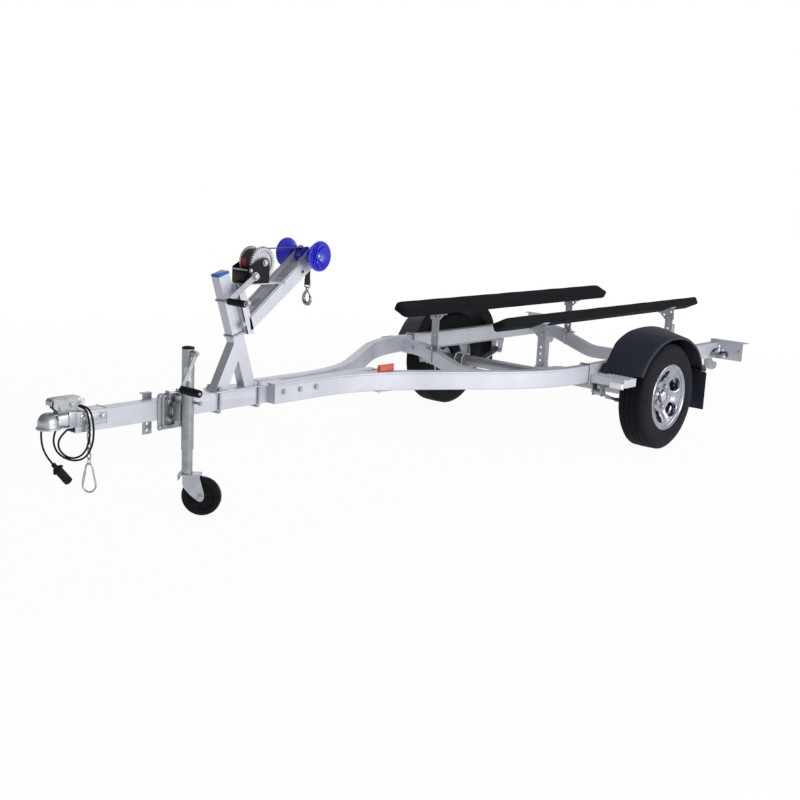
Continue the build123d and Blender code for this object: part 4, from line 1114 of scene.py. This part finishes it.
def add_carrier():
    """Channel on the back of the post, two folded arms up to the roller with a black strip under each top bead
    as a painted shadow line, and the winch deck.
    """
    carrier = Piece("winch_carrier_parts", [ALU, ZINC, GRIP], "aluminium_channel")
    low, high = 716, DECK
    for gap, y0, y1 in ((6, -50, 50), (40, 44, 50), (40, -50, -44)):
        carrier.add(slab([(post_back(low), low), (post_back(high), high), (post_back(high, gap), high),
                          (post_back(low, gap), low)], y0, y1))
    body = [(2330, 728), (1951, 1003), (1951, 1060), ARM_HEAD + ARM_DOWN * 6.5, ARM_FOOT + ARM_DOWN * 6.5]
    head, foot = Vector((1964, 1082)), Vector((2343, 788))
    fold = [head + ARM_DOWN * 7, head + ARM_DOWN * 2, foot + ARM_DOWN * 2, foot + ARM_DOWN * 7]
    lip = [ARM_HEAD + ARM_DOWN * 3.6, ARM_HEAD, ARM_FOOT, ARM_FOOT + ARM_DOWN * 3.6]
    a, b = (ARM_FOOT.lerp(ARM_HEAD, t) for t in (0.02, 0.64))
    for s in (-1, 1):
        y0, y1 = sorted((s * 25, s * 50))
        carrier.add(slab(rounded(body, 5, 4), y0, y1))
        carrier.add(slab(fold, *sorted((s * 25, s * 44))))
        carrier.add(slab(lip, y0, y1))
        carrier.add(rod((a.x, s * 49.5, a.y), (b.x, s * 49.5, b.y), 2.6, sides=12))
        # A thin black strip under the bead: a painted shadow line
        carrier.add(bar(a + ARM_DOWN * 4.6, b + ARM_DOWN * 4.6, 1.8, *sorted((s * 49.6, s * 50.3))), 2)
        ring = [(7, 49.5), (12, 49.5), (12, 51.6), (7, 51.6)]
        carrier.add(turned(ring, (2034, 0, 973), (0, s, 0), 28), 1)
        carrier.pin(2034, 973, s * 49, s * 50.4, 7.2, finish=2)
        for x, z in ((2375, 760), (2350, 850)):
            carrier.bolt((x, s * 50, z), (0, s, 0))
    for x, length in ((2056, 64), (2230, 40)):
        start = Vector((x, 1084 - 0.775 * (x - 1962) - 24))
        run, up = Vector((0.790, -0.613)) * length, ARM_DOWN * -4
        carrier.add(slab([start, start + run, start + run + up, start + up], -25, 25))
    carrier.add(block((2140, 2402), (-50, 50), (DECK - 6, DECK), 1.5))
    carrier.add(block((2140, 2145), (-50, 50), (DECK - 18, DECK - 2), 1.5))
    x, z = ROLLER_AT
    carrier.pin(x, z, -56, 56, 9.9, finish=1)
    carrier.done(1.0)


def add_winch():
    """The winch's black frame with its tie bars, pawl and bolts."""
    shell = Piece("winch_frame_parts", [BLACK, ZINC], "black_paint")
    cheek = [(2235, DECK), (2354, DECK), (2354, 1000), (2278, 1039), (2248, 1040), (2235, 1020)]
    for y0, y1 in ((50, 54), (-54, -50)):
        shell.add(slab(rounded(cheek, 8), y0, y1))
    for x0, low, high in ((2235, DECK, 936), (2350, DECK, 996), (2338, 992, 996)):
        shell.add(block((x0, 2354), (-54, 54), (low, high), 1.5))
    shell.pin(2342, 986, -50, 50, 5)
    shell.pin(2357, 991, -46, 46, 3.2, finish=1)
    shell.add(bar((2340, 986), (2333, 962), 11, 16, 21), 1)
    for s in (-1, 1):
        shell.bolt((2342, s * 54, 988), (0, s, 0), 13)
        shell.bolt((2290, s * 25, 936), UP, 15)
    shell.done(1.0)


GEAR_TEETH, TOOTH = 36, ((0.0, 61), (0.22, 69), (0.46, 69), (0.68, 61))


def add_drum():
    """Strap roll between a flange and the gear, with a red band on the outer turn."""
    x, z = DRUM_AT
    centre = (x, 0, z)
    drum = Piece("winch_drum_parts", [ZINC, WEB, RED, GRIP], "zinc_steel", "winch_spool")
    teeth = [polar(r, 360 * (i + share) / GEAR_TEETH) for i in range(GEAR_TEETH) for share, r in TOOTH]
    drum.add(cutout([teeth, circle(52, 48)], 12, Matrix.Translation(centre) @ facing_y(30)))
    drum.add(cutout([circle(52.5, 48), circle(12, 32)], 4, Matrix.Translation(centre) @ facing_y(33)))
    drum.add(turned([(10, 38), (24, 38), (24, 46), (20, 49), (10, 49)], centre, steps=40))
    flange = [(20, -36), (62, -36), (64, -37.5), (65.5, -39.5), (64, -42), (60, -42), (56, -39.5), (20, -39.5)]
    drum.add(turned(flange, centre))
    roll = [(20, -35.5)]
    for k in range(11):
        roll += [(54.6, -35.5 + 6 * k), (55.4, -33.5 + 6 * k)]
    drum.add(turned(roll + [(54.6, 29.8), (20, 29.8)], centre), 1)
    band = [polar(56.2, a) for a in range(-24, 17, 5)]
    drum.add(walled([[(x + u, y, z + v) for u, v in band] for y in (-35, -8)], 0.8), 2)
    drum.pin(x, z, -58, 58, 9.9)
    for s in (-1, 1):
        drum.bolt((x, s * 54.2, z), (0, s, 0), 19, 0)
    drum.done(0.5, 36)


def add_winch_crank():
    crank = Piece("winch_crank_parts", [ZINC, GRIP, GALV], "zinc_steel", "winch_handle")
    x, z = CRANK_AT
    end_x, end_z = x + 146, z - 98
    crank.pin(x, z, 43, 84, 9)
    crank.add(turned([(9, 56), (15, 56), (15, 62), (9, 62)], (x, 0, z), steps=12))
    crank.pin(x, z, 60, 68, 14)
    crank.bolt((x, 74, z), LEFT, 24, 0, 13)
    crank.add(bar((x, z), (end_x, end_z), 26, 68, 74), 2)
    crank.pin(end_x, end_z, 58, 68, 7.5, 6)
    crank.pin(end_x, end_z, 74, 79, 10)
    crank.add(ribbed_grip((end_x, 78, end_z), (end_x, 180, end_z), 15, 6.0), 1)
    crank.add(turned([(6, 179.5), (9, 179.5), (9, 180.6), (6, 180.6)], (end_x, 0, end_z), steps=28))
    crank.done(0.7)


# Keel roller: the profile of a flared end, and of the webs in its hollow
FLARE = [(10.2, 56), (35, 56), (38, 60), (42, 69), (48, 79), (55, 88), (62, 96), (67, 102.5), (68, 105),
         (68, 108), (65.5, 110.5), (62, 110.5), (60, 108), (50, 98), (38, 89), (26, 84), (15, 83), (15, 98),
         (10.2, 98)]
FLARE_WEB = [(14, 82), (26, 83), (50, 97), (61, 107), (61, 109.2), (50, 101.5), (38, 95), (26, 91), (14, 91)]
FLARE_WEBS = 10


def add_roller():
    """Keel roller: two flared ends with ribbed hollows, and a barrel between the arms."""
    x, z = ROLLER_AT
    roller = Piece("bow_roller_parts", [BLUE, ZINC], "roller_blue", "keel_roller")
    for s in (-1, 1):
        roller.add(turned(FLARE, (x, 0, z), (0, s, 0), 72))
        for i in range(FLARE_WEBS):
            u, v = polar(1, 360 * (i + 0.5) / FLARE_WEBS)
            out, side = Vector((u, 0, v)), Vector((0, s, 0))
            thick = out.cross(side)
            place = Matrix((out, side, thick)).transposed().to_4x4()
            place.translation = Vector((x, 0, z)) - thick * 1.4
            roller.add(plate(FLARE_WEB, 2.8, place))
        roller.pin(x, z, s * 88, s * 99, 10.4)
        roller.add(hexagon((x, s * 98, z), (0, s, 0), 12, 5), 1)
    half = [(30, 15), (31, 17), (36.5, 18), (37, 19), (36, 20), (10.2, 20)]
    roller.add(turned([(r, -d) for r, d in reversed(half)] + half, (x, 0, z)))
    roller.done(0.6, 40)


# Strap: where it hangs, its top and its end, and the hook below it with how thick it is along its bow
HANG_X, STRAP_TOP, STRAP_END = 1953.7, 1076.3, 906
HOOK = ((0, 886, 0.8), (-5, 877, 0.85), (-14, 868, 0.95), (-20, 855, 1.05), (-21, 840, 1.15), (-15, 827, 1.25),
        (-3, 821, 1.3), (11, 822, 1.2), (21, 834, 1.05), (22, 848, 0.9), (17, 858, 0.65))
HOOK_R = 7.4


def add_strap():
    """Webbing from the drum over the roller's waist to a swivel and a snap hook."""
    end_x, end_z = ROLLER_AT
    reach = end_x - HANG_X
    run = [(DRUM_AT[0] + (end_x - DRUM_AT[0]) * k / 28, 0, STRAP_TOP) for k in range(29)]
    run += [(end_x - v, 0, STRAP_TOP - reach + u) for u, v in (polar(reach, 9 * k) for k in range(1, 10))]
    run += [(HANG_X + 0.6 * sin(k / 2.0), 0, end_z + (STRAP_END - end_z) * k / 16) for k in range(17)]
    strap = Piece("winch_strap_web", [WEB], "webbing")
    section = [(-16, -1), (-15.2, -1.25), (15.2, -1.25), (16, -1), (16, 1), (15.2, 1.25), (-15.2, 1.25),
               (-16, 1)]
    strap.add(swept(run, section))
    web = strap.done(smooth=50)

    hook = Piece("winch_strap_hook", [DULL, WEB], "zinc_steel", node="")
    hook.add(block((HANG_X - 4, HANG_X + 4), (-16.5, 16.5), (905, 934), 1.6), 1)
    bail = [(HANG_X, y, z) for y, z in ((-17, 908), (-17, 896), (17, 896), (17, 908))]
    hook.add(staple(bail, 5, 2.6, steps=5, sides=10))
    hook.pin(HANG_X, 908, -19, 19, 3.2)
    hook.add(turned([(0, 0), (6, 0), (8, 3), (8, 12), (6, 15), (4.5, 17), (0, 17)], (HANG_X, 0, 882), UP, 24))
    bow = flowing([(HANG_X, y, z) for y, z, _ in HOOK], 4)
    bulk = [p[0] for p in flowing([(size, 0, 0) for _, _, size in HOOK], 4)]
    hook.add(swept(bow, circle(HOOK_R), AHEAD, bulk))
    gate = [(HANG_X, 1, 880), (HANG_X, 8, 873), (HANG_X, 17, 860)]
    hook.add(swept(gate, [(-3.5, -1.2), (3.5, -1.2), (3.5, 1.2), (-3.5, 1.2)], AHEAD))
    hook.add(rod((HANG_X - 5, 0, 880), (HANG_X + 5, 0, 880), 2.4))
    metal = hook.done(smooth=50)


# Cable: its radius and the points of its line
CABLE_R = 4.0
CABLE_POINTS = [
    (3196, 3, 415), (3219, -21, 386), (3230, -32, 345), (3217, -19, 308), (3190, 8, 291), (3163, 36, 306),
    (3151, 58, 350), (3149, 65, 402), (3150, 62, 446), (3151, 49, 480), (3154, 30, 493), (3158, 0, 495),
    (3161, -32, 492), (3169, -50, 472), (3194, -54, 436), (3228, -50, 398), (3243, -42, 352), (3228, -29, 306),
    (3189, 7, 281), (3162, 55, 298), (3140, 69, 350), (3137, 74, 402), (3138, 70, 446), (3139, 56, 480),
    (3142, 32, 494), (3146, 0, 495), (3149, -34, 492), (3158, -58, 470), (3188, -66, 452), (3232, -66, 450),
    (3268, -60, 444), (3288, -51, 408), (3289, -46, 352), (3269, -46, 300.6), (3240, -46, 266)]


def add_cable():
    plug = dressed("trailer_plug", [GRIP], "plug_black").done(1.2)
    data = bpy.data.curves.new("trailer_cable_run", "CURVE")
    data.dimensions = "3D"
    data.bevel_depth = CABLE_R * MM
    data.bevel_resolution = 4
    data.resolution_u = 12
    data.use_fill_caps = True
    line = data.splines.new("NURBS")
    line.points.add(len(CABLE_POINTS) - 1)
    for held, p in zip(line.points, CABLE_POINTS):
        held.co = (*metres(p), 1.0)
    line.order_u = 3
    line.use_endpoint_u = True
    data.materials.append(CABLE)
    cable = linked("trailer_cable_run", data)
    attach(cable, "frame")
    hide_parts("trailer_cable")


# Safety chain: its first link, the links, the way its hook faces and the hook's outline down from its eye
CHAIN_TOP, CHAIN_PITCH, CHAIN_LINKS, HOOK_TURN = Vector((3141.0, 46.3, 425.0)), 20.4, 8, 131.0
HOOK_SIDE = [(6.5, 6.5), (12, -3), (17, -30), (24, -66), (24.6, -84), (15, -100), (0, -105.5)]


def add_chain():
    """Round-wire links down to a pear-shaped snap hook with a spring gate."""
    chain = Piece("safety_chain_links", [ZINC], "zinc_steel")
    for i in range(CHAIN_LINKS):
        chain.add(chain_link(CHAIN_TOP - Vector((0, 0, CHAIN_PITCH * i)), 90 * ((i + 1) % 2), 31, 20, 5))
    c, s = polar(1, HOOK_TURN)
    eye = CHAIN_TOP - Vector((0, 0, CHAIN_PITCH * (CHAIN_LINKS - 1) + 18.5))
    outline = HOOK_SIDE + [(-u, v) for u, v in HOOK_SIDE[-2::-1]]
    run = [eye + Vector((u * c, u * s, v)) for u, v in outline]
    chain.add(swept(flowing(run + run[:1], 4)[:-1], circle(4.0, 12), (s, -c, 0), closed=True))
    top, foot = (eye + Vector((u * c, u * s, v)) for u, v in ((-17, -30), (-24, -66)))
    chain.add(rod(top.lerp(foot, -0.12), top.lerp(foot, 1.12), 5.2, sides=16))
    chain.done(smooth=60)


def add_lamps():
    dressed("side_lamp", [AMBER, ZINC], "amber_lens").done(1.2)
    dressed("step_lamps", [CLEAR, GRIP], "white_lens").done(1.2)


for add in (add_camera, add_stage, add_cable, add_rails, add_drawbar, add_crossmembers, add_axle, add_springs):
    add()
for side, sign in SIDES:
    for add in (add_tyre, add_rim, add_guard):
        add(side, sign)
for add in (add_steps, add_tail, add_bunks, add_bunk_brackets, add_coupler, add_latch, add_jockey_leg,
            add_castor, add_jockey_crank, add_post, add_carrier, add_winch, add_drum, add_winch_crank,
            add_roller, add_strap, add_chain, add_lamps):
    add()
